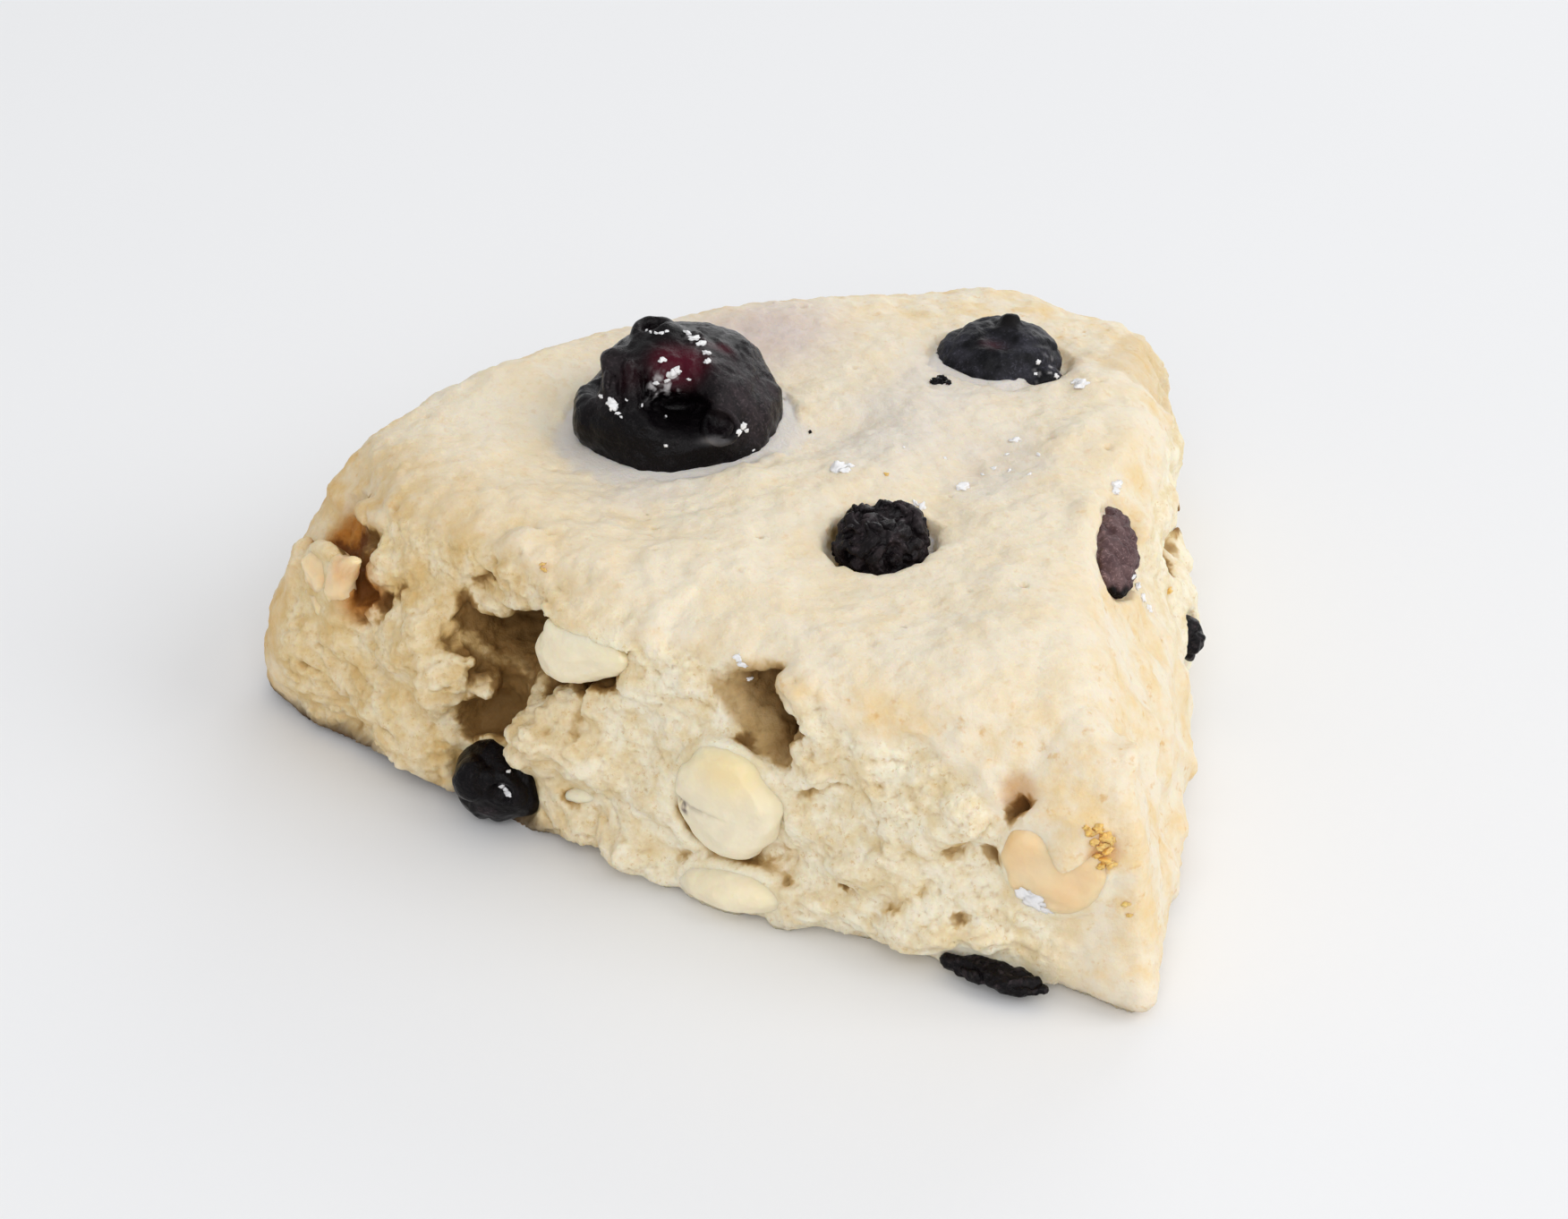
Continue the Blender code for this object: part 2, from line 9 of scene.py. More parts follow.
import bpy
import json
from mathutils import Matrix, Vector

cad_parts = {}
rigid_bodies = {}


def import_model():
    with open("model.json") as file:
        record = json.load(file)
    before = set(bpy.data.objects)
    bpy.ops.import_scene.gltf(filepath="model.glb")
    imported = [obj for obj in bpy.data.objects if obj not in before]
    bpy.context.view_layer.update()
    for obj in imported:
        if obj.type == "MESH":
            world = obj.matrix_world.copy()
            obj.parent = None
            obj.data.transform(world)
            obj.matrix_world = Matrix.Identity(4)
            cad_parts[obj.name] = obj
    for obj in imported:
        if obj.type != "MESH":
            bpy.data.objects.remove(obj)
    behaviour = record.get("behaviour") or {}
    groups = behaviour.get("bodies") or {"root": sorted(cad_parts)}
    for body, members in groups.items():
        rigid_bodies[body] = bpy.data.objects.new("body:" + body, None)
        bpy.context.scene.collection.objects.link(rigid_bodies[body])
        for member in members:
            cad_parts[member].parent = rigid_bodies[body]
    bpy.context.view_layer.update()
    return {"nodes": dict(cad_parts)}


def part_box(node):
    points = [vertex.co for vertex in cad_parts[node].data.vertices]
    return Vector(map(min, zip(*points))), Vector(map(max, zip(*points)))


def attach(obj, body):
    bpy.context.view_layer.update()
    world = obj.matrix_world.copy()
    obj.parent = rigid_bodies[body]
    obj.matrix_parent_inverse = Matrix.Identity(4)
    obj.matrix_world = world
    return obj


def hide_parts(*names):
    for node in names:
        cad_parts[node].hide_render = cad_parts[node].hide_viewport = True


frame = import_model()

# %% Blender's modules
import json
from math import cos, pi, radians, sin

import bmesh
import bpy
import numpy as np
from mathutils import Matrix, Vector, noise
from mathutils.bvhtree import BVHTree
from mathutils.kdtree import KDTree

# %% [markdown]
# ## Places on the scone
#
# A baker would say "halfway along the cut side, two fingers up". We do the same: each side of the wedge has
# its own axes (along it from the tip, up it, and out of it), so a crease or a lump is placed by three sizes
# in millimetres. Lengths stay in millimetres everywhere, and only the last step turns them into metres.

# %% Millimetres, the tip and the sides
MM = 0.001
TIP = Vector((1.54, -44.62, 0.0))  # the tip of the wedge on the table, which is the middle of the whole round

# A point at the foot of each side (from the tip), how far along the side it is, and the side's angle.
FRONT = {"foot": (-24.5, 31.0), "at": 39.5, "angle": 118.4, "side": 1}
TOE = {"foot": (-6.6, 6.2), "at": 9.0, "angle": 134.0, "side": 1}
CORNER = {"foot": (-44.4, 70.0), "at": 83.0, "angle": 98.0, "side": 1}
RIGHT = {"foot": (23.5, 31.0), "at": 38.9, "angle": 55.5, "side": -1}
RIM = {"foot": (14.0, 88.6), "at": 0.0, "angle": 171.0, "side": -1}


def side_axes(side, lean=0.0):
    """A side's own axes as columns: along it, up it and out of it. `lean` raises the far end."""
    run = Vector((cos(radians(side["angle"])), sin(radians(side["angle"])), 0))
    outward = Vector((-run.y, run.x, 0)) * side["side"]
    turn = Matrix.Rotation(radians(-side["side"] * lean), 3, outward)
    return Matrix((turn @ run, turn @ Vector((0, 0, 1)), outward)).transposed()


def on_side(side, along, height, out=0.0):
    """The point of a side that lies `along` from the tip, at `height`, and `out` from the side."""
    axes = side_axes(side)
    foot = Vector((*side["foot"], 0)) + TIP
    return foot + axes.col[0] * (along - side["at"]) + axes.col[2] * out + Vector((0, 0, height))


def on_top(x, y, height=25.0):
    """A point over the crust, x and y from the tip."""
    return TIP + Vector((x, y, height))


print("the cut side's middle is at", [round(v, 1) for v in on_side(FRONT, 39.5, 12)], "mm")

# %% [markdown]
# ## The camera
#
# The picture was taken from well above table height with a long lens, which keeps the far rim nearly as
# large as the near tip. The camera comes first, so that every later step can be judged from where it counts.

# %% Stand the camera
CAMERA_STAND = Vector((-136.06, -239.72, 193.2))
CAMERA_AIM = Vector((3.64, 22.98, 0.0))
LENS = 85

camera = bpy.data.objects.new("camera", bpy.data.cameras.new("camera"))
bpy.context.scene.collection.objects.link(camera)
camera.data.lens = LENS
camera.data.clip_start = 0.01
camera.location = CAMERA_STAND * MM
camera.rotation_euler = (CAMERA_AIM - CAMERA_STAND).to_track_quat("-Z", "Y").to_euler()
bpy.context.scene.camera = camera

# The viewer's own directions over the table, for berries that are described as they are seen.
AWAY = Vector((0.469, 0.883, 0.0))
TO_RIGHT = Vector((0.883, -0.469, 0.0))
print("camera is", round((CAMERA_AIM - CAMERA_STAND).length), "mm away")

# %% [markdown]
# ## Table and light
#
# Daylight fills a white room: most of it comes from the front and the right, some low from behind on the
# right, and the white walls give back the rest. Three wide softboxes do the windows' work. Each is set by
# where it stands on a clock face round the scone, how high, and how strong its light is at the scone, so
# their distance doesn't matter. A pale grey world keeps the shadow side soft.

# %% Lay the table
TABLE_SIZE = 5000


def link(obj):
    bpy.context.scene.collection.objects.link(obj)
    return obj


def object_from(bm, name):
    """A new object that holds what was made in `bm`."""
    mesh = bpy.data.meshes.new(name)
    bm.to_mesh(mesh)
    bm.free()
    return link(bpy.data.objects.new(name, mesh))


sheet = bmesh.new()
bmesh.ops.create_grid(sheet, x_segments=24, y_segments=24, size=TABLE_SIZE / 2 * MM)
table = object_from(sheet, "table")
print("the table is", TABLE_SIZE, "mm square")

# %% Hang the softboxes and light the room
# angle round the scone from +X, angle over the table, and the light it gives at the scone in W/m2
SOFTBOXES = {
    "softbox_front": (242, 40, 1.08),
    "softbox_right": (320, 36, 1.12),
    "softbox_low": (42, 15, 0.70),
}
BOX_DISTANCE = 1500
BOX_SIZE = 1000
ROOM = (0.97, 0.985, 1.0)
ROOM_STRENGTH = 0.61


def softbox(name, around, over, strength):
    lamp = bpy.data.lights.new(name, "AREA")
    lamp.energy = strength * pi * (BOX_DISTANCE * MM) ** 2
    lamp.size = BOX_SIZE * MM
    obj = link(bpy.data.objects.new(name, lamp))
    level = Vector((cos(radians(around)), sin(radians(around)), 0)) * cos(radians(over))
    way = level + Vector((0, 0, sin(radians(over))))
    obj.location = way * BOX_DISTANCE * MM
    obj.rotation_euler = (-way).to_track_quat("-Z", "Y").to_euler()


for name, (around, over, strength) in SOFTBOXES.items():
    softbox(name, around, over, strength)
room = bpy.data.worlds.new("room")
bpy.context.scene.world = room
room.use_nodes = True
room.node_tree.nodes["Background"].inputs["Color"].default_value = (*ROOM, 1)
room.node_tree.nodes["Background"].inputs["Strength"].default_value = ROOM_STRENGTH
bpy.context.scene.view_settings.view_transform = "Standard"
print(len(SOFTBOXES), "softboxes and a room of", ROOM_STRENGTH)

# %% [markdown]
# ## Working a mesh like dough
#
# The fine shapes are made the way hands make them: grain the mesh evenly, push and pull it with soft
# strokes, then roughen it. Numpy moves all points at once, which keeps a mesh of a hundred thousand points
# quick. The helpers below read points in millimetres, move them and write them back.

# %% Read, write and bake
def points_of(obj):
    points = np.empty(len(obj.data.vertices) * 3)
    obj.data.vertices.foreach_get("co", points)
    return points.reshape(-1, 3) / MM


def set_points(obj, points):
    obj.data.vertices.foreach_set("co", (points * MM).ravel())
    obj.data.update()


def normals_of(obj):
    normals = np.empty(len(obj.data.vertices) * 3, np.float32)
    obj.data.vertex_normals.foreach_get("vector", normals)
    return normals.reshape(-1, 3).astype(float)


def with_modifier(obj, kind, **settings):
    """Adds a modifier and turns its result into plain mesh."""
    modifier = obj.modifiers.new(kind, kind)
    for name, value in settings.items():
        setattr(modifier, name, value)
    graph = bpy.context.evaluated_depsgraph_get()
    obj.data = bpy.data.meshes.new_from_object(obj.evaluated_get(graph))
    obj.modifiers.clear()
    return obj


def grain(obj, size):
    """Rebuilds the mesh with an even grain; bodies that overlap become one."""
    return with_modifier(obj, "REMESH", mode="VOXEL", voxel_size=size * MM)


def soften(obj, rounds, factor=0.5):
    return with_modifier(obj, "SMOOTH", factor=factor, iterations=rounds)


def thin_out(obj, triangles):
    """Leaves about this many triangles, the most of them where the surface bends."""
    now = sum(len(face.vertices) - 2 for face in obj.data.polygons)
    if now <= triangles:
        return obj
    return with_modifier(obj, "DECIMATE", ratio=triangles / now, use_collapse_triangulate=True)


def smooth_step(low, high, values):
    share = np.clip((values - low) / (high - low), 0, 1)
    return share * share * (3 - 2 * share)


def solid_copy(name, node):
    """A new object with a welded copy of a node's mesh."""
    bm = bmesh.new()
    bm.from_mesh(frame["nodes"][node].data)
    bmesh.ops.remove_doubles(bm, verts=bm.verts, dist=0.001 * MM)
    return object_from(bm, name)


# %% Strokes
FALL = 1.6  # how fast every stroke and spot fades; at its reach a fifth of it is left


def nearness(points, centre, axes, reach, crisp=1.0):
    """1 at `centre`, falling to 0 beyond `reach` of it, which is given along each of the axes. A higher
    `crisp` gives a flat floor and a steep edge."""
    local = (points - np.array(centre)) @ np.array(axes) / np.array(reach)
    return np.exp(-FALL * (local**2).sum(axis=1) ** crisp)


def stroke(points, centre, axes, reach, push, crisp=1.0):
    """Pushes the points near `centre` by the vector `push`."""
    return points + nearness(points, centre, axes, reach, crisp)[:, None] * np.array(push)


# %% Natural unevenness
def waves(points, size, seed=0.0, octaves=1):
    """Smooth noise between about -1 and 1 at each point, in waves about `size` millimetres across."""
    where = points / size + np.array([seed, seed * 1.7, -seed])
    return np.array([noise.fractal(place, 1.0, 2.1, octaves) for place in where.tolist()])


def pebbles(points, size, seed=0.0):
    """How far each point is from the middle of its own pebble: 0 in the middle, about 1 at its edge."""
    where = points / size + np.array([seed, -seed, seed * 0.6])
    return np.array([noise.voronoi(place)[0][0] for place in where.tolist()])


def creases(points, size, seed=0.0):
    """1 along thin winding lines and 0 away from them."""
    return 1 - np.clip(np.abs(waves(points, size, seed)) * 4, 0, 1)


# %% [markdown]
# ## A recipe for materials
#
# Every finish is a Principled surface whose colour and bump come from noise in the object's own space, so
# it works from all sides and needs no unwrapping. Where a finish belongs to a place (toasted, wet, torn),
# the modelling step leaves a number on each point, and the material reads it by name.

# %% The recipe
class Recipe:
    """A material's node tree, built one node at a time."""

    def __init__(self, name, **sockets):
        self.material = bpy.data.materials.new(name)
        self.material.use_nodes = True
        self.tree = self.material.node_tree
        self.shader = self.tree.nodes["Principled BSDF"]
        self.set(self.shader, sockets)
        self.space = self.add("ShaderNodeTexCoord").outputs["Object"]

    def set(self, node, sockets):
        for name, value in sockets.items():
            socket = node.inputs[name.replace("_", " ")] if isinstance(name, str) else node.inputs[name]
            if isinstance(value, bpy.types.NodeSocket):
                self.tree.links.new(value, socket)
            else:
                socket.default_value = (*value, 1) if len_of(value) == 3 and len_of(socket) == 4 else value

    def add(self, kind, settings=None, **sockets):
        node = self.tree.nodes.new(kind)
        for name, value in (settings or {}).items():
            setattr(node, name, value)
        self.set(node, sockets)
        return node

    def number(self, name):
        """A number that the modelling left on each point."""
        return self.add("ShaderNodeAttribute", {"attribute_name": name}).outputs["Fac"]

    def noise(self, size, detail=3.0, roughness=0.55):
        """Noise in waves about `size` millimetres across."""
        made = self.add("ShaderNodeTexNoise", Vector=self.space, Scale=1 / (size * MM), Detail=detail,
                        Roughness=roughness)
        return made.outputs["Fac"]

    def step(self, value, low, high, to_low=0.0, to_high=1.0):
        """Goes smoothly from `to_low` to `to_high` as the value goes from low to high."""
        settings = {"interpolation_type": "SMOOTHSTEP"}
        made = self.add("ShaderNodeMapRange", settings, Value=value, From_Min=low, From_Max=high,
                        To_Min=to_low, To_Max=to_high)
        return made.outputs["Result"]

    def times(self, a, b, operation="MULTIPLY"):
        node = self.add("ShaderNodeMath", {"operation": operation, "use_clamp": True})
        self.set(node, {0: a, 1: b})
        return node.outputs[0]

    def mix(self, share, a, b, way="MIX"):
        """Colour a, going to colour b as `share` goes to 1."""
        node = self.add("ShaderNodeMix", {"data_type": "RGBA", "blend_type": way})
        self.set(node, {0: share, 6: a, 7: b})
        return node.outputs[2]

    def bump(self, height, depth, strength=1.0, under=None):
        """A bump of `depth` millimetres, on top of another if one is given."""
        node = self.add("ShaderNodeBump", Height=height, Distance=depth * MM, Strength=strength)
        if under:
            self.set(node, {"Normal": under})
        return node.outputs["Normal"]

    def finish(self, **sockets):
        self.set(self.shader, sockets)
        return self.material


def len_of(value):
    """How many numbers a colour, a vector or a colour socket holds, or 0 for a plain number."""
    value = getattr(value, "default_value", value)
    return len(value) if hasattr(value, "__len__") else 0


# %% Leave numbers on a mesh, and dress a piece
def leave_number(obj, name, values):
    """Leaves a number on each point of a mesh, for its material to read."""
    layer = obj.data.attributes.new(name, "FLOAT", "POINT")
    layer.data.foreach_set("value", np.clip(values, 0, 1).astype(np.float32))


def dress(obj, material, slot, *nodes):
    """Gives a piece its material, and hides the solids it stands for."""
    obj.data.materials.clear()
    obj.data.materials.append(material)
    obj.data.shade_smooth()
    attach(obj, "root")
    if nodes:
        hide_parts(*nodes)
    print(obj.name, "has", sum(len(f.vertices) - 2 for f in obj.data.polygons), "triangles")
    return obj


# %% Paper for the table
paper = Recipe("paper", Roughness=0.75, Specular_IOR_Level=0.2)
fibres = paper.noise(1.6, 4)
cloud = paper.noise(160, 2)
paper.finish(
    Base_Color=paper.mix(cloud, (0.84, 0.84, 0.85), (0.87, 0.87, 0.88)),
    Normal=paper.bump(fibres, 0.05, 0.25),
)
table.data.materials.append(paper.material)

# %% [markdown]
# ## Berry skins
#
# A baked berry is nearly black, and what we see of it is mostly reflection: a waxy bloom that scatters
# light on the sound skin, a wet gloss where juice has boiled out, and wine-red where thin skin lets light
# through. One recipe makes all of them, from numbers for bloom, wine and dried sugar left on the mesh; on the
# burst berry the sugar number also paints a highlight along its ring.

# %% The skin recipe
WINE = (0.060, 0.0020, 0.010)  # thin skin that lets light through
CHAR = (0.004, 0.003, 0.003)
SUGAR_AND_GLINT_GREY = (0.62, 0.59, 0.60)  # sugar that dried on the skin, and a painted highlight on the burst berry's ring


def berry_skin(name, dark, bloom, wet=0.22, waxy_roughness=0.62):
    skin = Recipe(name, Specular_IOR_Level=0.12)
    speckle = skin.step(skin.noise(0.30, 3, 0.75), 0.54, 0.63)
    patches = skin.step(skin.noise(1.8, 5, 0.70), 0.38, 0.64)
    waxy = skin.times(skin.number("bloom"), skin.times(skin.times(patches, 0.7), 0.3, "ADD"))
    colour = skin.mix(waxy, dark, bloom)
    colour = skin.mix(skin.number("wine"), colour, WINE)
    dust = skin.times(skin.times(speckle, skin.times(skin.number("bloom"), 0.08, "ADD")), 0.42)
    colour = skin.mix(dust, colour, tuple(2.8 * v for v in bloom))
    colour = skin.mix(skin.number("char"), colour, CHAR)
    colour = skin.mix(skin.number("sugar_and_glint"), colour, SUGAR_AND_GLINT_GREY)
    wrinkles = skin.bump(skin.noise(0.8, 5, 0.65), 0.16, 0.8)
    return skin.finish(
        Base_Color=colour,
        Roughness=skin.step(waxy, 0.0, 0.7, wet, waxy_roughness),
        Normal=skin.bump(skin.noise(0.20, 3, 0.65), 0.035, 0.6, wrinkles),
    )


sound_skin = berry_skin("skin_blue_black", (0.0015, 0.0010, 0.0015), (0.040, 0.030, 0.033))
navy_skin = berry_skin("skin_graphite", (0.0025, 0.0025, 0.0035), (0.038, 0.037, 0.048), 0.30)
plum_flesh = berry_skin("flesh_plum", (0.075, 0.040, 0.042), (0.190, 0.120, 0.118), 0.45, 0.70)
print("skins:", sound_skin.name, navy_skin.name, plum_flesh.name)


# %% Balls and rings
def viewer_axes():
    """To the viewer's right, towards the viewer and up, as columns."""
    return Matrix((TO_RIGHT, -AWAY, Vector((0, 0, 1)))).transposed()


def add_ball(bm, centre, axes, reach, knobbly=0.0, seed=0.0):
    """A closed ball at a place in millimetres, dented by noise."""
    made = bmesh.ops.create_icosphere(bm, subdivisions=3, radius=1)["verts"]
    frame_of_ball = Matrix(axes) @ Matrix.Diagonal(Vector(reach))
    for vertex in made:
        swell = 1 + knobbly * noise.noise(vertex.co * 1.6 + Vector((seed, -seed, seed)))
        vertex.co = (centre + frame_of_ball @ (vertex.co * swell)) * MM
    return made


def bridge(bm, rows):
    """Faces from each round row of points to the next."""
    for this, following in zip(rows, rows[1:]):
        for part, corner in enumerate(this):
            after = (part + 1) % len(this)
            bm.faces.new((corner, this[after], following[after], following[part]))


def add_ring(bm, centre, axes, radius, thick):
    """A closed ring; the third of its axes is the one it turns about."""
    rows = []
    for turn in range(24):
        spoke = Vector((cos(turn * pi / 12), sin(turn * pi / 12), 0))
        row = []
        for part in range(8):
            lift = Vector((0, 0, sin(part * pi / 4)))
            place = spoke * (radius + thick * cos(part * pi / 4)) + lift * thick
            row.append(bm.verts.new((centre + Matrix(axes) @ place) * MM))
        rows.append(row)
    bridge(bm, rows + rows[:1])


# %% A berry that is modelled as it is seen
class Berry:
    """Every place on a berry is given to the viewer's right, to the front and up, from its middle."""

    def __init__(self, node, grain_size, rounds, swell=0.2, balls=(), rings=()):
        self.node = node
        self.obj = solid_copy(node + "_skin", node)
        low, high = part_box(node)
        self.centre = (Vector(low) + Vector(high)) / 2 / MM
        bm = bmesh.new()
        bm.from_mesh(self.obj.data)
        for at, reach in balls:
            add_ball(bm, self.place(*at), viewer_axes(), reach, 0.12, at[0])
        for at, radius, thick, tilt in rings:
            axes = viewer_axes() @ Matrix.Rotation(radians(-tilt), 3, "X")
            add_ring(bm, self.place(*at), axes, radius, thick)
        bmesh.ops.recalc_face_normals(bm, faces=bm.faces)
        bm.to_mesh(self.obj.data)
        bm.free()
        soften(grain(self.obj, grain_size), rounds)
        self.points = points_of(self.obj) + normals_of(self.obj) * swell
        self.marks = {"bloom": 0.0, "wine": 0.0, "sugar_and_glint": 0.0, "char": 0.0}

    def place(self, right, front, up):
        return self.centre + viewer_axes() @ Vector((right, front, up))

    def push(self, at, reach, push, crisp=1.0):
        """Moves the skin near `at`; all three are to the right, to the front and up."""
        axes = viewer_axes()
        self.points = stroke(self.points, self.place(*at), axes, reach, axes @ Vector(push), crisp)

    def near(self, at, reach, crisp=1.0):
        """1 at a place on the skin, falling to 0 beyond `reach` of it."""
        return nearness(self.points, self.place(*at), viewer_axes(), reach, crisp)

    def roughen(self, amounts):
        """Moves the skin out by an amount for each point."""
        set_points(self.obj, self.points)
        self.points = self.points + normals_of(self.obj) * amounts[:, None]

    def done(self, material, slot, triangles=60000):
        set_points(self.obj, self.points)
        for name, values in self.marks.items():
            leave_number(self.obj, name, np.broadcast_to(values, len(self.points)))
        thin_out(self.obj, triangles)
        return dress(self.obj, material, slot, self.node)


# %% [markdown]
# ## The burst berry
#
# The largest berry swelled in the oven, split and sank back. Its lower half is still a black bowl. On the
# right the skin stands as a waxy plum-grey hood, on the left it hangs in folds like a curtain, and between
# them the middle has fallen in: a black hollow below, clotted juice above it, and a thin wine-red skin that
# runs up to the little crown. So we add the crown and the folds as bodies and push the middle in.

# %% Model the burst berry
burst = Berry(
    "berry_burst", 0.20, 10, 0.15,
    balls=[
        ((-2.4, -1.8, 5.9), (2.3, 2, 1.5)),  # the neck of the crown
        ((-6.4, 2.4, 1.2), (3.3, 4.2, 3.2)),  # the left lobe
        ((-5.6, 0.8, 4.3), (1.9, 2.4, 2.5)),  # the shoulder over it
        ((-6.3, 3.6, 3.6), (0.8, 1.8, 2.4)),  # two folds of the curtain
        ((-4.4, 3.2, 4.7), (0.7, 1.9, 2.2)),
        ((1.5, -1, 6.4), (1.2, 0.9, 0.9)),  # a bubble beside the crown
        ((4.4, -0.6, 5), (2.4, 1, 1.1)),  # the fold of red skin behind the hood
    ],
    rings=[((-2.3, -2.2, 7), 1.60, 0.46, 8), ((1.4, -0.9, 6.9), 0.75, 0.26, 20),
           ((3.75, 7.6, 2.8), 1.50, 0.30, 40)],
)
burst.push((-0.8, 5.4, 4.8), (3.2, 3, 2.8), (0, -1.5, -1.7), 1.5)  # the middle falls in
burst.push((-0.2, 6.3, 3.1), (4.3, 2.4, 1.5), (0.1, -2.4, -0.7), 1.9)  # the black hollow
burst.push((-5.2, 4.4, 4), (0.5, 2.6, 2.6), (0, -1.3, -0.6), 1.2)  # between the two folds
burst.push((-3.2, 4.4, 4.4), (0.5, 2.2, 2.2), (0, -1, -0.8), 1.2)  # beside the red skin
burst.push((-7.9, 1.4, 4.4), (1.1, 2.6, 1.6), (0.9, 0, -0.9), 1.3)  # under the shoulder
burst.push((4.2, 4.6, 4.6), (1.6, 2.4, 1.8), (-0.7, 0.5, 0.3))  # the hood's front edge
burst.push((7.4, 0.6, 4.6), (2.8, 4.5, 3), (-0.8, 0, -0.8))  # the hood slopes away
burst.push((4.8, -0.8, 6), (3.4, 3, 2.2), (0, 0, -0.8), 1.4)
burst.push((3.75, 7.8, 3), (1.1, 1.3, 0.85), (0, -0.8, -0.5), 2)  # the dent in the ring
burst.push((-2.3, -2.2, 7.2), (1.1, 1.1, 1.3), (0, 0, -1.1), 2.5)  # the crown is hollow
burst.push((1.9, 2.6, 6.4), (0.6, 2.6, 1.4), (0, -0.2, -0.5), 1.2)  # the seam between red skin and hood

rough = burst.near((-3.2, 4.6, 4.5), (5.5, 4, 4)) + 0.8 * burst.near((0, 7, -3), (11, 7, 2))
burst.roughen(-0.30 * creases(burst.points, 2.4, 3) * np.clip(rough, 0.30, 1))
burst.roughen(0.18 * waves(burst.points, 1, 5, 3) * np.clip(rough, 0.45, 1))
skirt = np.exp(-(((burst.points[:, 2] - burst.centre.z + 2.6) / 1.4) ** 2))
burst.roughen(0.50 * waves(burst.points, 2.3, 8, 2) * skirt)  # its lower edge is scalloped
inside = burst.near((-0.4, 5.8, 3.2), (4.6, 3.4, 1.7), 1.8)
burst.marks["bloom"] = np.clip(
    1.25 * burst.near((7, 3.2, 3.6), (4.6, 6, 4.6), 2)
    + 0.75 * burst.near((-6, 3, 5), (2.4, 3.6, 3.2), 1.4)
    + 0.5 * burst.near((-2.3, -2, 7.2), (2, 2, 1.2))
    + 0.06, 0, 1,
) * (1 - 0.95 * inside) * (0.75 + 0.5 * waves(burst.points, 2.2, 4))
burst.marks["wine"] = np.clip(
    burst.near((0, 2.4, 6.2), (3, 2.4, 2.4), 1.8)
    + 1.2 * burst.near((5, -0.6, 6.8), (2.6, 1, 1.2), 1.3)
    + 0.3 * burst.near((-4.4, 3.6, 5.4), (0.9, 1.6, 2)), 0, 1,
) * (1 - inside)
clots = smooth_step(-0.05, 0.30, waves(burst.points, 0.8, 9, 2))
# White sugar clots in the middle and by the crown, and a painted highlight: the light crescent along the
# ring's front.
burst.marks["sugar_and_glint"] = clots * np.clip(
    0.85 * burst.near((-1.4, 4.4, 4.9), (1.7, 1.6, 1.7), 1.6)
    + 0.5 * burst.near((1.7, -1, 7.6), (1.4, 1.2, 1.2)), 0, 1,
) + 0.30 * burst.near((3.3, 8.6, 1.9), (1.5, 0.7, 0.45), 1.4)
burst.done(sound_skin, "berry")

# %% [markdown]
# ## The other berries
#
# The one at the back is whole: a dull graphite dome with a worn crown. The small one dried out and wrinkled
# like a peppercorn. The one in the right-hand edge was cut, and shows plum-coloured flesh with a black tail.
# The one at the foot of the cut side is glossy and blocky, squashed by the dough above it.

# %% Model the berry at the back
back = Berry(
    "berry_back", 0.18, 14, 0.2,
    balls=[((1.1, -1.2, 4.1), (1, 0.8, 0.8)), ((4.2, 3.4, -0.2), (1.9, 1.9, 1.9))],
)
back.push((0.2, 1.6, 4), (1.8, 1.4, 1.2), (0, -0.2, -0.7), 1.4)
back.push((2.2, 4.8, 0.2), (0.5, 2, 1.8), (0, -0.8, 0))
back.push((-3.2, 3, 1.4), (2.6, 2.2, 1.6), (0.1, -0.3, -0.3))
back.roughen(-0.20 * creases(back.points, 3, 1))
back.roughen(0.10 * waves(back.points, 0.8, 2, 2))
back.marks["bloom"] = np.clip(0.45 + 1.1 * waves(back.points, 1.9, 4, 2), 0.05, 1)
back.marks["char"] = back.near((1, -0.6, 4.8), (2.2, 1.6, 1.3), 1.6)
back.marks["wine"] = 0.5 * back.near((-0.4, 2.2, 3.8), (1.5, 1, 0.8), 1.4)
specks = smooth_step(0.25, 0.5, waves(back.points, 0.6, 6))
back.marks["sugar_and_glint"] = 0.7 * specks * back.near((4.6, 3.4, 1), (1.6, 2, 1.6))
back.done(navy_skin, "berry")

# %% Model the shrivelled berry
shrivelled = Berry(
    "berry_shrivelled", 0.12, 12, 0.35,
    balls=[
        ((-1.7, -1.6, 2.5), (0.7, 0.4, 0.6)),
        ((-0.3, -2, 2.7), (0.6, 0.4, 0.6)),
        ((1.1, -1.8, 2.5), (0.6, 0.4, 0.5)),
    ],
)
shrivelled.push((0, -0.6, 3.8), (2.6, 3, 1.6), (0, 0.2, -1.3), 1.4)  # its crown sank
shrivelled.roughen(-0.75 * creases(shrivelled.points, 2.7, 2))
shrivelled.roughen(-0.34 * creases(shrivelled.points, 1.4, 7))
shrivelled.roughen(0.08 * waves(shrivelled.points, 0.5, 3, 2))
shrivelled.marks["bloom"] = 0.25 + 0.8 * smooth_step(-0.1, 0.5, waves(shrivelled.points, 1.5, 8, 2))
specks = smooth_step(0.30, 0.6, waves(shrivelled.points, 0.9, 1, 3))
shrivelled.marks["sugar_and_glint"] = 0.25 * specks * shrivelled.near((0.8, -0.4, 3.4), (2.2, 2.6, 2.2))
shrivelled.done(sound_skin, "berry")

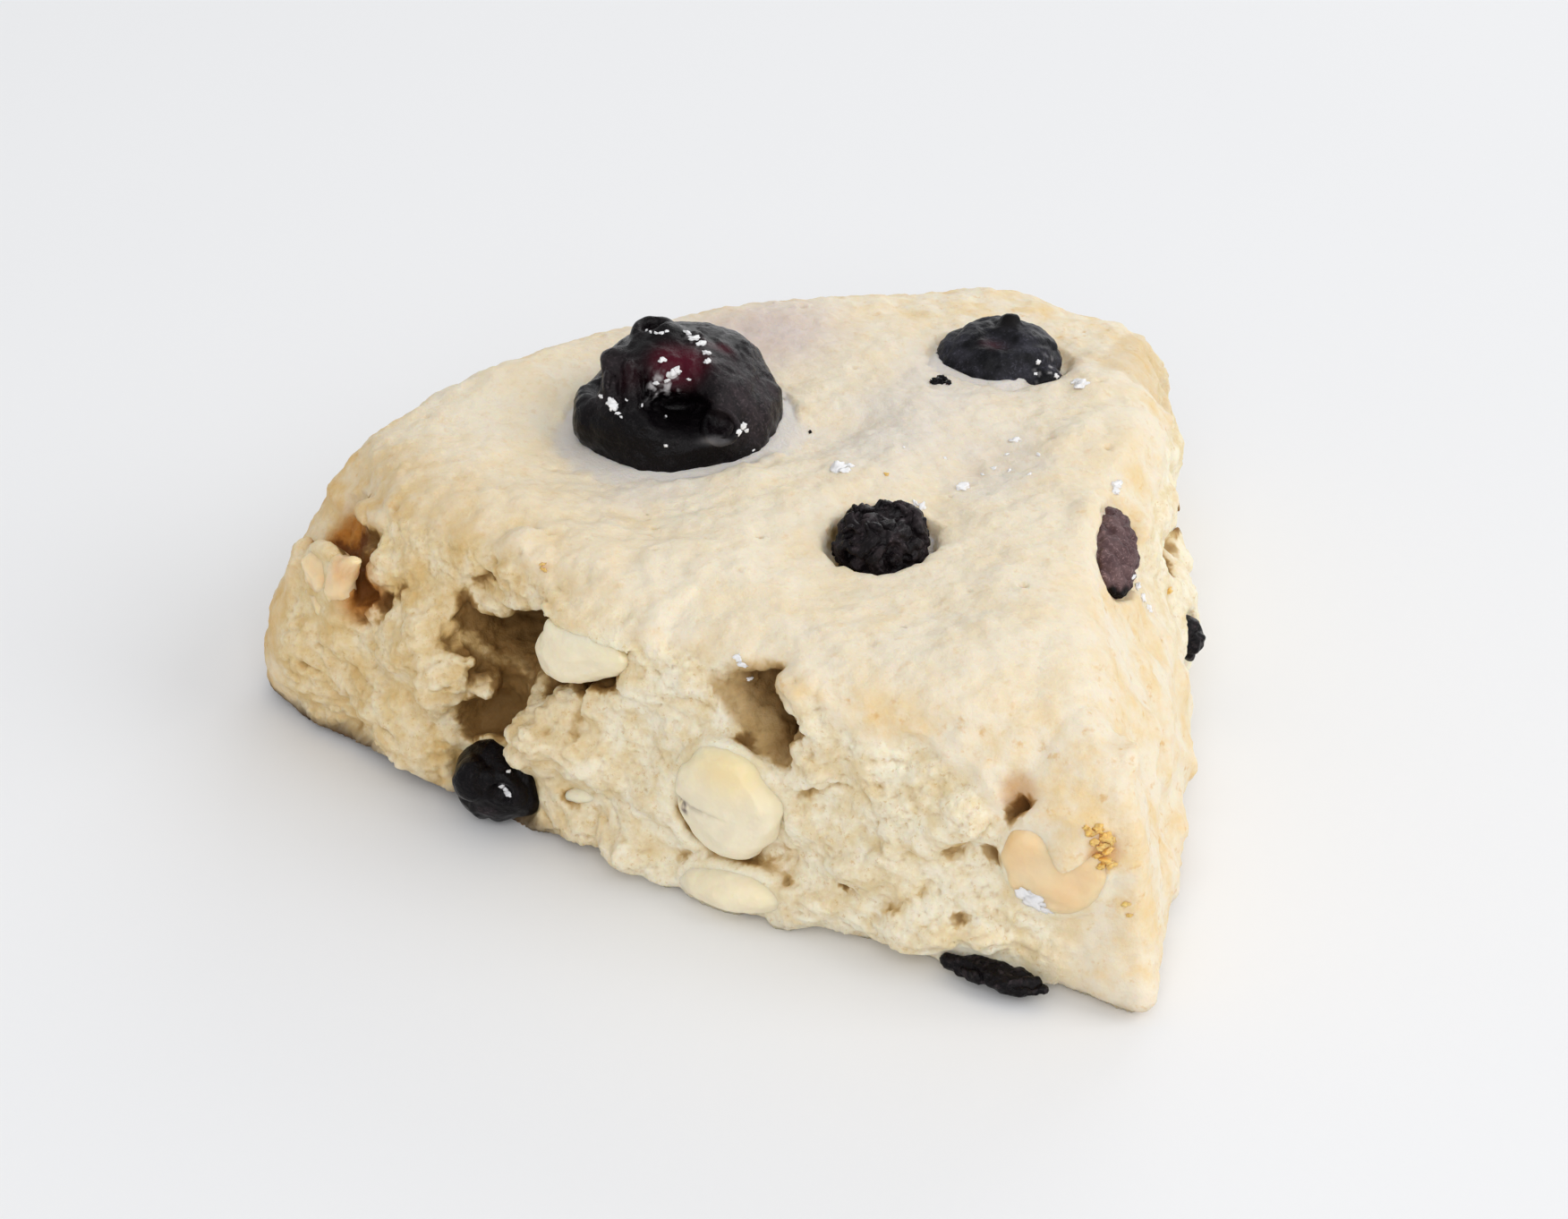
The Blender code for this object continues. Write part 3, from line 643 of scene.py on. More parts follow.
# %% Model the cut berry in the edge
edge = Berry(
    "berry_edge", 0.13, 10, 0.25,
    balls=[((0.2, 1, -4.3), (0.8, 0.9, 1.1)), ((1, 1, -5), (0.9, 0.6, 0.5))],
)
edge.push((-0.9, 0.6, 4.4), (1.4, 2.6, 1.8), (0.7, 0, -0.2))  # the top end is a point
edge.push((-1.9, 1, -1), (0.7, 2, 0.9), (0.5, 0, 0), 1.4)  # a nick in its left edge
edge.roughen(-0.36 * creases(edge.points, 1.9, 2))
edge.roughen(0.20 * waves(edge.points, 1, 3, 3))
edge.marks["bloom"] = 0.50 + 0.7 * waves(edge.points, 1.6, 4, 2)
UP_THE_PICTURE = (0, -0.545, 0.839)  # seen from the camera
seen = (edge.points - np.array(edge.centre)) @ np.array(viewer_axes()) @ np.array(UP_THE_PICTURE)
edge.marks["char"] = smooth_step(-2.7, -3.3, seen + 0.5 * waves(edge.points, 1, 6))
specks = smooth_step(0.30, 0.5, waves(edge.points, 0.6, 2, 2))
edge.marks["sugar_and_glint"] = 0.6 * specks * edge.near((-1.6, 1, -0.4), (1.2, 2, 3))
edge.done(plum_flesh, "split_berry")

# %% Model the berry at the foot
foot = Berry(
    "berry_foot", 0.16, 12, 0.2,
    balls=[((2.6, 0.6, 3), (1.2, 1.6, 1.3)), ((-1.6, 1.8, 1.4), (2, 1.8, 2))],
)
foot.push((0.4, 3.4, 1), (1.2, 1.4, 0.9), (0, -0.9, -0.2), 1.4)
foot.push((2.6, 2.2, -1), (1.4, 1.6, 2.4), (0.5, 0.4, 0))
foot.roughen(-0.42 * creases(foot.points, 4.6, 6))
foot.roughen(0.12 * waves(foot.points, 1.3, 1, 2))
foot.marks["bloom"] = 0.06 + 0.9 * foot.near((-1, 3.4, -1.4), (1.3, 1.5, 0.8), 1.4)
foot.done(sound_skin, "berry")

# %% Model the strip of skin, the shard and the two berries on the hidden sides
for node, seed in (("berry_skin", 2), ("berry_shard", 5)):
    scrap = Berry(node, 0.11, 6, 0.1)
    scrap.roughen(-0.30 * creases(scrap.points, 2, seed))
    scrap.roughen(0.18 * waves(scrap.points, 1, seed, 3))
    scrap.marks["bloom"] = 0.10 + 0.6 * smooth_step(0.2, 0.5, waves(scrap.points, 0.6, seed + 2))
    scrap.done(sound_skin, "berry", 24000)

for node, seed in (("berry_right", 4), ("berry_rim", 8)):
    unseen = Berry(node, 0.18, 12)
    unseen.roughen(-0.34 * creases(unseen.points, 2.4, seed))
    unseen.roughen(0.12 * waves(unseen.points, 0.8, seed, 2))
    unseen.marks["bloom"] = 0.45 + 0.5 * waves(unseen.points, 2.4, seed + 1)
    unseen.done(navy_skin, "berry", 24000)

# %% [markdown]
# ## White chocolate
#
# A chip in baked dough softens but keeps its drop shape. It is ivory and waxy, a little see-through at its
# edges, yellow where it faced the heat and caramel where it toasted. Subsurface light does most of the work.

# %% The chocolate recipe
BRUISE = (0.050, 0.016, 0.030)  # berry juice in a crack


def chocolate(name, pale, warm, roughness=0.42):
    wax = Recipe(name, Roughness=roughness, Specular_IOR_Level=0.35, Subsurface_Weight=0.45,
                 Subsurface_Scale=1.6 * MM, Subsurface_Radius=(1.0, 0.62, 0.30))
    cloud = wax.step(wax.noise(2.6, 4), 0.35, 0.68)
    colour = wax.mix(cloud, pale, tuple(0.93 * v for v in pale))
    colour = wax.mix(wax.number("toast"), colour, warm)
    colour = wax.mix(wax.number("bruise"), colour, BRUISE)
    fine = wax.bump(wax.noise(0.5, 3), 0.06, 0.5)
    return wax.finish(Base_Color=colour, Normal=wax.bump(wax.noise(2.0, 3), 0.30, 0.5, fine))


ivory = chocolate("chocolate_ivory", (0.89, 0.80, 0.60), (0.88, 0.70, 0.36))
toasted = chocolate("chocolate_toasted", (0.89, 0.69, 0.42), (0.82, 0.50, 0.22), 0.30)
print("chocolate:", ivory.name, toasted.name)


# %% A chip that is modelled in its side's axes
class Chip(Berry):
    """Every place on a chip is given along the side that it sits in, up and out of it."""

    PRESS_DEPTH = 6.0  # how far in and out a press and a spot reach
    SPOT_DEPTH = 9.0

    def __init__(self, node, side, rounds=12):
        super().__init__(node, 0.16, rounds, 0.1)
        self.side = side
        self.marks = {"toast": 0, "bruise": 0.0}

    def press(self, along, height, reach, depth, lean=0.0, crisp=1.0):
        """Pushes the face in by `depth`; a negative depth swells it."""
        axes = side_axes(self.side, lean)
        centre = on_side(self.side, along, height)
        reach = (*reach, self.PRESS_DEPTH)
        self.points = stroke(self.points, centre, axes, reach, -axes.col[2] * depth, crisp)

    def pull(self, at, reach, push, crisp=1.0):
        axes = side_axes(self.side)
        centre = on_side(self.side, *at)
        self.points = stroke(self.points, centre, axes, reach, axes @ Vector(push), crisp)

    def spot(self, along, height, reach, lean=0.0, crisp=1.0):
        """1 at a place on the face, falling to 0 beyond `reach` of it."""
        centre = on_side(self.side, along, height)
        return nearness(self.points, centre, side_axes(self.side, lean), (*reach, self.SPOT_DEPTH), crisp)


# %% Model the chip in the middle of the cut side
face = Chip("chip_face", FRONT)
face.press(37, 11.2, (4.6, 4.8), 1, crisp=2.4)  # a disc rather than an egg
face.press(38.6, 10.6, (3, 0.24), 0.30, lean=2)
face.press(41.4, 10.4, (0.8, 0.45), 0.8, crisp=1.5)
face.press(36.2, 8, (3.4, 2), -0.40, crisp=1.4)
face.pull((33, 14.9, 0.6), (1.8, 1.8, 3.6), (0.5, -0.4, 0))  # round at all four corners
face.pull((41.8, 15.2, 0.6), (1.8, 1.8, 3.6), (-0.6, -0.4, 0))
face.pull((41.6, 6.8, 0.6), (1.8, 1.8, 3.6), (-0.6, 0.5, 0))
face.pull((32.4, 6.8, 0.6), (1.8, 1.8, 3.6), (0.5, 0.4, 0))
face.roughen(0.16 * waves(face.points, 3, 2) + 0.05 * waves(face.points, 1.2, 2, 3))
face.marks["toast"] = 0.85 * face.spot(36.4, 15.2, (5, 3))
face.marks["bruise"] = np.clip(
    1.4 * face.spot(41.7, 10.4, (0.8, 0.34), crisp=1.5) + face.spot(40.5, 10.1, (0.5, 0.8), crisp=1.5)
    + 0.35 * face.spot(39.6, 10.6, (2.4, 0.36)), 0, 1,
) * smooth_step(-0.6, 0.2, waves(face.points, 0.45, 3))
face.done(ivory, "chip")

# %% Model the toasted chips in the left corner and under the flap
corner = Chip("chip_corner", CORNER, rounds=34)
corner.pull((79.2, 18.2, -0.8), (1.7, 1.5, 2.2), (-1.9, 1.8, -0.2))
corner.pull((77.4, 19.8, -1), (0.9, 0.8, 1.6), (-1.5, 1.4, 0))
corner.pull((83.6, 17.4, 0), (1.5, 2.6, 2.4), (0, 0.3, 0.7))
corner.pull((80.6, 15.6, 0.4), (0.7, 3, 2.4), (0, 0, -0.9))
corner.press(82.6, 16.6, (4, 3.4), 0.7, crisp=1.4)
corner.roughen(0.40 * waves(corner.points, 2.2, 4, 3))
corner.marks["toast"] = 0.50 + 0.8 * waves(corner.points, 2.6, 3, 2)
corner.done(toasted, "toasted_chip", 30000)

tip_chip = Chip("chip_tip", TOE)
tip_chip.press(8.4, 12.4, (3.4, 3.6), 0.4, crisp=2)
tip_chip.press(8, 16.8, (3.6, 1.8), 1.4, crisp=1.6)  # it dips under the flap
tip_chip.roughen(0.20 * waves(tip_chip.points, 2.2, 5, 2))
cloudy = waves(tip_chip.points, 2.4, 5, 2)
tip_chip.marks["toast"] = 0.22 + 0.35 * cloudy + 0.5 * tip_chip.spot(12.2, 15.6, (2, 2.6))
tip_chip.done(toasted, "toasted_chip", 30000)

# %% Model the other chips
for node, side, seed in (("chip_lip", FRONT, 1), ("chip_low", FRONT, 2), ("chip_sliver", FRONT, 3),
                         ("chip_right", RIGHT, 4)):
    chip = Chip(node, side)
    if node == "chip_lip":
        chip.pull((49.4, 20.6, 1), (1.6, 2.2, 2.4), (-2, 0.9, 0.1))  # a leaf, pointed to the right
        chip.pull((55.6, 21.8, 1.2), (1.6, 1.6, 2.4), (0.7, 0.9, 0))  # and to its upper left
        chip.press(52.6, 20.4, (3.6, 2), 0.3, lean=6, crisp=2)  # its face is flat
    chip.roughen(0.34 * waves(chip.points, 3.2, seed) + 0.08 * waves(chip.points, 1.1, seed, 3))
    chip.marks["toast"] = 0.12 + 0.25 * waves(chip.points, 4, seed)
    chip.done(ivory, "chip", 24000)

# %% [markdown]
# ## The dough
#
# The dough is the largest piece, and its faces are different stuff. The crust dried first and is smooth and
# nearly matt. The cut sides tore when the wedge was pulled from the round: soft clumps with creases between
# them, a few pores, ragged lips and small caves. The work goes in three steps. Whole bodies come first,
# cut out of the plain solid or joined to it. Then the mesh is grained anew, which melts them together. The
# fine relief comes last, and only where the dough is torn.

# %% Caves: what is cut out of the plain solid
# A plane that faces the viewer, through the hollows of the left corner.
POCKET = {"foot": (-40.5, 70.6), "at": 0, "angle": 152, "side": 1}

# along, height, out, the half sizes along, up and out, the lean, and the side where it isn't FRONT
CAVES = [
    # under the brow
    (58.8, 18.8, -5.2, 4.6, 3.5, 4.6, -20), (55.6, 17, -4.4, 3.6, 2.4, 3.2, -8),
    (61.6, 13.4, -2.6, 3.4, 2.8, 2.8, 30),
    # over the disc
    (34.2, 19.3, -2.4, 3, 1.6, 3.6, 14), (37.2, 20.8, -1.4, 2.6, 1.4, 2.6, 20),
    (38.6, 19, -1.5, 2.9, 2.1, 2.8, 30),
    # pits in the ledge
    (47.5, 14.1, -0.2, 1, 0.6, 1.6, 20), (44.6, 13.2, -0.2, 1, 0.7, 1.6, -30),
    (42.9, 14.3, -0.2, 0.5, 0.9, 1.4, -10),
    # the gap beside the disc
    (31.2, 13.6, 0.8, 0.5, 2.3, 1.8, 8),
    # the two hollows of the corner
    (0.6, 17.6, -1.8, 1.9, 1.2, 3.6, -14, POCKET), (-2.9, 15.8, 2.6, 1, 2.7, 3.4, 4, POCKET),
    # the gap under the flap's edge
    (11.9, 18.4, -1.6, 2.5, 0.40, 1.1, 51, TOE),
    # the crumbled spot on its other side
    (4.7, 15, 0.2, 0.9, 1, 1.2, 0, TOE),
    # long creases between rolled folds
    (27.4, 6.8, 0.6, 3.8, 0.45, 1, -21), (50.8, 6.4, 1.8, 4, 0.40, 1.2, -12),
    (47, 9.4, 1, 3.6, 0.35, 1, -18),
]
print(len(CAVES), "caves, gaps and creases")


# %% Cut the caves
def ball_on_side(bm, row, knobbly, seed):
    """Adds a ball from a row of such a table."""
    along, height, out, *reach, lean, side = row if len(row) == 8 else (*row, FRONT)
    add_ball(bm, on_side(side, along, height, out), side_axes(side, lean), reach, knobbly, seed)


dough = solid_copy("dough_crumb_and_crust", "dough")
for number, cave in enumerate(CAVES):
    bm = bmesh.new()
    ball_on_side(bm, cave, 0.45, number * 3.7)
    cutter = object_from(bm, "cutter")
    with_modifier(dough, "BOOLEAN", operation="DIFFERENCE", solver="MANIFOLD", object=cutter)
    bpy.data.objects.remove(cutter)
print("after the caves the dough has", len(dough.data.vertices), "points")

# %% Clumps and tongues: what is joined to it
CLUMPS = [
    # between the cave and the corner
    (65.4, 11.4, -1.2, 2.6, 1.3, 1.8, -24), (70, 17.2, -1.2, 1.5, 1.4, 1.5, 0),
    (71.6, 14.2, -0.8, 1.7, 1.3, 1.6, 20), (73.6, 11, -0.8, 1.9, 1.6, 1.5, 0),
    (75.4, 14.6, -1.4, 1.6, 1.8, 1.5, 0),
    # the ledge over the berry
    (56.4, 10.4, 0, 3, 3, 2.8, 6), (58.4, 8, 0.4, 1.9, 2, 2, 0), (53, 9.6, 0, 3.2, 2.4, 2.2, 10),
    (55.4, 12.8, -0.4, 2.2, 1.3, 2.2, -10),
    # lobes along the foot
    (46.8, 2.6, 0.4, 3.4, 2.1, 2.6, -6), (52.8, 2.4, 0.2, 2.6, 1.5, 2, 0),
    (43.2, 1.6, 0.4, 2.4, 1.4, 2.2, 0), (30.2, 3.4, 0, 3.6, 1.8, 1.8, -10),
    # rolled folds
    (24.6, 9.8, -1.5, 5.2, 1.1, 1.7, -27), (19.4, 4.6, -1, 4.4, 1.9, 1.8, -8),
    # the wall to the right of the hollow over the disc, and its slanting edge
    (29.8, 16.4, -2.2, 2.8, 3.2, 2.2, 14), (30.6, 21.2, -3, 4.4, 1.9, 2.2, 41),
    # the face to the left of the flap
    (20.8, 14.2, -3.4, 6, 3.4, 3, -20), (15.4, 15.6, -4, 5.2, 5, 3.2, 20, TOE),
    # a lump on the ledge, and two along the foot
    (54.4, 12, -0.2, 2.3, 1.9, 2.1, 0), (29.6, 4.4, -1, 2.6, 1.9, 1.8, 0),
    (14.4, 5.2, -2.6, 2.6, 1.7, 1.8, 0),
    # the slope that leads into the cave
    (60.6, 21.8, -4.3, 3.8, 2.2, 2.6, -14), (61.6, 24.2, -4.6, 4.2, 2, 2.6, -10),
    (64.6, 19.8, -5.4, 3.2, 2.4, 2.8, 0),
    # the ledge's top, close under the chip
    (54, 13.5, -1, 2.6, 2, 2.2, 0), (50.8, 14.6, -1.2, 2.2, 2.2, 2.2, -10), (48.2, 16.2, -1, 2, 2, 1.8, 0),
    (52.4, 11.8, -1, 3, 2.2, 2, 0), (55, 11.3, -0.6, 2.4, 2, 2, 0), (48.4, 13.2, -1, 2.4, 2.2, 1.8, 0),
    # the face beside the chip's right end
    (46.5, 21.9, -1.6, 3, 1.9, 1.7, 0),
    # crumb over the corner's hollow
    (79.6, 21.3, -6.6, 3.4, 1.7, 1.9, 0, CORNER), (76.7, 18.4, -5, 2.3, 3.2, 2.2, 0, CORNER),
    # the face below it
    (79, 9, -2.4, 4.4, 3.2, 2.2, 10), (76, 5, -1.6, 4.2, 2.2, 2, 0),
    # once more beside the chip's right end
    (43, 20.4, -1.6, 3.2, 2.4, 1.6, 0),
    # the lip at the corner's foot
    (87.6, 4.6, 0.4, 1.1, 0.8, 1.3, 0, CORNER),
    # lumps round the toasted corner
    (86.4, 15, -1.6, 2.2, 2.8, 1.8, 10, CORNER), (84.8, 10.4, -0.6, 2.6, 1.6, 1.6, 0, CORNER),
]
# Tongues of dough on a side, each by rows of along, height, out, half width and half thickness.
TONGUES = [
    (TOE, [(8.6, 22, -6.2, 5.4, 2), (8.2, 20, -4.5, 5.2, 2), (7.5, 18, -2.8, 4.2, 1.8),
           (7.1, 16.3, -1.2, 3, 1.5), (7.2, 15.1, 0, 2, 1.2), (7.3, 14.2, 0.7, 1.1, 0.8),
           (7.4, 13.6, 1, 0.4, 0.4)]),
    (FRONT, [(66.2, 15.4, 0.2, 2.4, 1.2), (66.5, 13, 0.9, 2.3, 1.4), (66.9, 11, 1.1, 1.8, 1.2),
             (67.4, 9.2, 1, 1.1, 0.9), (67.8, 7.8, 0.8, 0.5, 0.5)]),
    (FRONT, [(52.6, 25.8, -6.2, 7.6, 1.6), (52.4, 24.9, -4.2, 7, 1.5), (51.8, 24.1, -2.4, 6.6, 1.3),
             (51.4, 23.4, -0.9, 6, 1), (51.2, 22.9, 0.2, 5.2, 0.7), (51, 22.5, 0.8, 4.4, 0.35)]),
]
print(len(CLUMPS), "clumps and", len(TONGUES), "tongues")

# %% Levels: how high the dough stands round each berry and chip
# node: a side, a point and the way the level faces, in the side's axes
LEVELS = {
    "chip_face": (FRONT, (37.2, 11.2, 0.3), (-0.10, -0.12, 1)),
    "chip_lip": (FRONT, (53, 20.6, -0.6), (0.1, -0.5, 0.85)),
    "chip_low": (FRONT, (36.6, 2.8, 1.7), (-0.1, -0.1, 1)),
    "chip_sliver": (FRONT, (53, 5.6, 0.85), (0, 0, 1)),
    "chip_tip": (TOE, (8.4, 13, -0.3), (0, 0, 1)),
    "chip_corner": (CORNER, (81.6, 15.6, 0), (0, 0.15, 1)),
    "chip_right": (RIGHT, (60, 12, -2.5), (0, 0.1, 1)),
    "berry_edge": (RIGHT, (35.5, 22, -7.2), (-0.07, 0.56, 1)),
    "berry_foot": (FRONT, (61.4, 3.9, 0.6), (0, 0, 1)),
    "berry_right": (RIGHT, (23.1, 9, -1.8), (-0.13, 0.25, 1)),
    "berry_rim": (RIM, (0, 10.5, -0.8), (0, 0.1, 1)),
    "berry_skin": (FRONT, (13.1, 1.6, -3), (-0.23, 0, 1)),
    "berry_shard": (RIGHT, (45.6, 7, -0.3), (0, 0, 1)),
}
# The same for the berries on the crust, with x, y and height in the table's axes.
CRUST_LEVELS = {
    "berry_burst": ((-7.9, 21.5, 24.2), (0, 0, 1)),
    "berry_back": ((24.2, 19.2, 23.4), (0.144, 0.04, 1)),
    "berry_shrivelled": ((-2, -5.2, 23.2), (0, 0, 1)),
}
print(len(LEVELS) + len(CRUST_LEVELS), "levels")


# %% A tongue of dough
def add_tongue(bm, side, rows):
    """A closed tongue of dough that runs down a side, from rows of rings."""
    rings = []
    for along, height, out, wide, thick in rows:
        ring = []
        for turn in range(16):
            across, forward = wide * cos(turn * pi / 8), thick * sin(turn * pi / 8)
            ring.append(bm.verts.new(on_side(side, along + across, height, out + forward) * MM))
        rings.append(ring)
    bridge(bm, rings)
    bm.faces.new(rings[0][::-1])
    bm.faces.new(rings[-1])


# %% Dough that fills the gap round a topping
SNUG = 0.55  # how far the filling goes beyond a topping, so that no gap is left round it


def add_filling(bm, node, place, facing):
    """A swollen copy of a topping, pressed down to the level of the dough round it."""
    piece = solid_copy("filling", node)
    points = points_of(piece) + normals_of(piece) * SNUG
    facing = np.array(facing.normalized())
    over = np.maximum((points - np.array(place)) @ facing, 0)
    set_points(piece, points - over[:, None] * facing)
    bm.from_mesh(piece.data)
    bpy.data.objects.remove(piece)


# %% Join them all and grain the mesh anew
DOUGH_GRAIN = 0.30

bm = bmesh.new()
bm.from_mesh(dough.data)
for number, clump in enumerate(CLUMPS):
    ball_on_side(bm, clump, 0.4, number * 2.3)
for side, rows in TONGUES:
    add_tongue(bm, side, rows)
for node, (side, at, facing) in LEVELS.items():
    add_filling(bm, node, on_side(side, *at), side_axes(side) @ Vector(facing))
for node, (at, facing) in CRUST_LEVELS.items():
    add_filling(bm, node, Vector(at), Vector(facing))
bmesh.ops.recalc_face_normals(bm, faces=bm.faces)
bm.to_mesh(dough.data)
bm.free()
soften(grain(dough, DOUGH_GRAIN), 7)
points = points_of(dough)
print("the grained dough has", len(points), "points")

# %% How torn is each point?
# Where the crust ends on the cut side: how far along, and how high.
CRUST_END = [(0, 8), (8.6, 11.8), (12.1, 13.9), (15.5, 18.1), (19.9, 19.7), (26.2, 21.2), (30.9, 22.7),
             (37.6, 23.2), (43.5, 23.0), (48.8, 23.4), (56, 23.8), (63, 24.6), (66.9, 25.2), (71.4, 24.6),
             (78.0, 22.4), (86, 18.0)]


def in_side(points, side):
    """Each point in a side's own axes: along from the tip, up and out."""
    local = (points - np.array(on_side(side, 0, 0))) @ np.array(side_axes(side))
    return local[:, 0], local[:, 1], local[:, 2]


def over_crust_end(points):
    """How far each point lies over the torn side's upper end, in millimetres."""
    along, height, out = in_side(points, FRONT)
    wobble = 1.3 * waves(points, 6.0, 3.0, 2) + 0.5 * waves(points, 1.8, 5.0, 2)
    front = height - np.interp(along, *zip(*CRUST_END)) + wobble
    other = height - 20.5 + 1.5 * wobble
    return np.where(out > -16, front, other)


over_end = over_crust_end(points)
from_tip = np.hypot(points[:, 0] - TIP.x, points[:, 1] - TIP.y)
on_front = smooth_step(-13.5, -10.5, in_side(points, FRONT)[2]) * smooth_step(4, 10, from_tip)
on_right = smooth_step(-9.5, -5.0, in_side(points, RIGHT)[2]) * smooth_step(30, 46, from_tip)
torn = np.maximum(on_front, on_right) * smooth_step(88, 84, from_tip) * smooth_step(0.7, -0.7, over_end)
calm = 1 - 0.35 * (on_right > on_front)
print("torn share of the surface:", round(float(torn.mean()), 2))


# %% The relief of crust and crumb
def pillows(points, size, seed=0.0):
    """Soft pillows with sharp creases between them, from 0 in a crease to about 1 on a pillow."""
    return np.clip(np.abs(waves(points, size, seed)) * 2.2, 0, 1) ** 0.7


def pores(points, size, radius, seed=0.0):
    """1 in the middle of a few small round holes, one at most in each `size` millimetres."""
    here = smooth_step(radius / size, 0.35 * radius / size, pebbles(points, size, seed))
    return here * smooth_step(0.05, 0.25, waves(points, 7.0, seed + 5))


def relief(points, torn):
    """How far each point moves out of the surface."""
    crust = 0.32 * waves(points, 7.0, 1.0, 2) + 0.27 * waves(points, 2.4, 2.0, 3)
    crust += 0.11 * waves(points, 0.8, 3.0, 2) - 0.45 * pores(points, 4.0, 0.60, 2.0)
    drift = np.stack([waves(points, 6.0, s) for s in (11.0, 14.0, 17.0)], axis=1)
    layered = (points + 1.6 * drift) * np.array([0.62, 0.62, 1.15])
    crumb = 0.46 * pillows(layered, 4.0, 4.0) + 0.40 * pillows(layered, 1.8, 6.0) - 0.60
    crumb += 0.24 * pillows(points, 0.95, 8.0) + 0.12 * waves(points, 0.55, 3.0, 2)
    crumb -= 0.60 * pores(layered, 2.0, 0.40, 9.0)
    return crust * (1 - torn) + crumb * torn * calm


# %% How far is it to the nearest berry or chip?
NEAR_TOPPING = 1.6  # the relief fades out within this


def distance_to(points, pieces, reach):
    """How far each point is from the nearest of the pieces, no further than `reach`."""
    far = np.full(len(points), float(reach))
    for piece in pieces:
        mesh = piece.data
        tree = BVHTree.FromPolygons([v.co / MM for v in mesh.vertices], [f.vertices for f in mesh.polygons])
        own = points_of(piece)
        low, high = own.min(axis=0) - reach, own.max(axis=0) + reach
        for k in np.flatnonzero(((points > low) & (points < high)).all(axis=1)):
            found = tree.find_nearest(points[k], reach)
            if found[0] is not None:
                far[k] = min(far[k], found[3])
    return far


set_points(dough, points)
toppings = [obj for obj in bpy.data.objects if obj.name.endswith("_skin")]
gap = distance_to(points, toppings, NEAR_TOPPING)
settled = smooth_step(0.0, NEAR_TOPPING, gap)
print(int((gap < NEAR_TOPPING).sum()), "points are close to a berry or a chip")

# %% Roughen the crumb and wave the crust
normals = normals_of(dough)
underside = smooth_step(-0.5, -0.9, normals[:, 2])  # it stays flat
lip = 0.45 * np.exp(-(((over_end - 0.9) / 0.8) ** 2)) * np.maximum(on_front, on_right)
amount = relief(points, torn) * (0.25 + 0.75 * settled) + lip * settled
points = points + normals * (amount * (1 - underside))[:, None]
print("the surface moves by", round(float(amount.min()), 2), "to", round(float(amount.max()), 2), "mm")

# %% Spread the foot and roll it under
# The foot rolls under a little, as a baked edge does, which darkens the line on the table; the dark band along
# the foot is the brown bottom crust and painted contact shadow. At the left end the bottom crust spreads a
# little beyond the crumb, and the band is widest there.
UNDERCUT = 0.9
FOOT_HEIGHT = 1.6
FOOT_SPREAD = 2.0
ON_TABLE = 0.35  # what is lower than this lies on the table
along, height, out = in_side(points, FRONT)
at_left = smooth_step(50, 60, along) * smooth_step(88, 80, along) * smooth_step(-14, -8, out)
level_normals = normals * np.array([1, 1, 0])
points += level_normals * (FOOT_SPREAD * at_left * smooth_step(2.8, 0.4, points[:, 2]) * settled)[:, None]
roll = UNDERCUT * np.clip(1 - points[:, 2] / FOOT_HEIGHT, 0, 1) ** 2 * settled
points -= level_normals * roll[:, None]
points[:, 2] = np.where(points[:, 2] < ON_TABLE, 0.0, points[:, 2])
print("the foot spreads by up to", FOOT_SPREAD, "mm and rolls under by", UNDERCUT, "mm")

# %% [markdown]
# ### The sugar glaze
#
# Thin icing ran into the dents of the crust. A liquid finds its own level, so each puddle is made that way:
# inside its outline every point under the level is raised to it, with a small rim where it climbs a berry.

# %% Pour the puddles
# x and y from the tip, the level over the table, the half sizes and the turn in degrees
PUDDLES = [
    (-10.0, 64.6, 24.9, (14.0, 12.8), 12),
    (19.6, 62.4, 24.6, (6.5, 5.5), 30),
    (2.0, 40.2, 23.8, (4.8, 4.4), 20),
]
UP_AND_DOWN = 8.0  # how far over and under the crust a place on it reaches


def over_top(points, x, y, reach, crisp=1.0, angle=0.0):
    """1 over a place on the crust, falling to 0 beyond `reach` of it."""
    turned = Matrix.Rotation(radians(angle), 3, "Z")
    return nearness(points, on_top(x, y), turned, (*reach, UP_AND_DOWN), crisp)


poured = np.zeros(len(points))
for x, y, height, reach, angle in PUDDLES:
    inside = over_top(points, x, y, reach, 3.0, angle)
    surface = height + 0.22 * np.exp(-gap / 0.5) - 0.9 * smooth_step(0.85, 0.15, inside)
    surface = np.where(inside > 0.1, surface, 0)
    rise = np.where(points[:, 2] > 20, surface - points[:, 2], 0)
    points[:, 2] += np.maximum(rise, 0)
    poured = np.maximum(poured, smooth_step(-0.45, 0.25, rise) * smooth_step(0.1, 0.4, inside))
set_points(dough, points)
print("the glaze covers", round(float((poured > 0.5).mean() * 100), 1), "% of the points")


# %% Hollows, fine and broad
def hollows(obj, rounds):
    """How far each point lies under the surface that softening leaves, in millimetres."""
    copy = link(bpy.data.objects.new("softened", obj.data.copy()))
    soften(copy, rounds)
    under = ((points_of(copy) - points_of(obj)) * normals_of(copy)).sum(axis=1)
    bpy.data.objects.remove(copy)
    return under


leave_number(dough, "torn", torn)
fine_hollows, broad_hollows = hollows(dough, 8), hollows(dough, 60)
# Painted shade: this darkens the dough's colour in its hollows, fine and broad.
painted_hollow_shade = smooth_step(0.03, 0.33, fine_hollows) + 0.4 * smooth_step(0.15, 1.1, broad_hollows)
leave_number(dough, "hollow_shade", painted_hollow_shade)
# Painted light: the number high lightens crumb that stands above the broadly softened surface.
leave_number(dough, "high", smooth_step(0.05, 0.75, -broad_hollows) * torn)
print("the fine hollows are up to", round(float(fine_hollows.max()), 2), "mm deep")


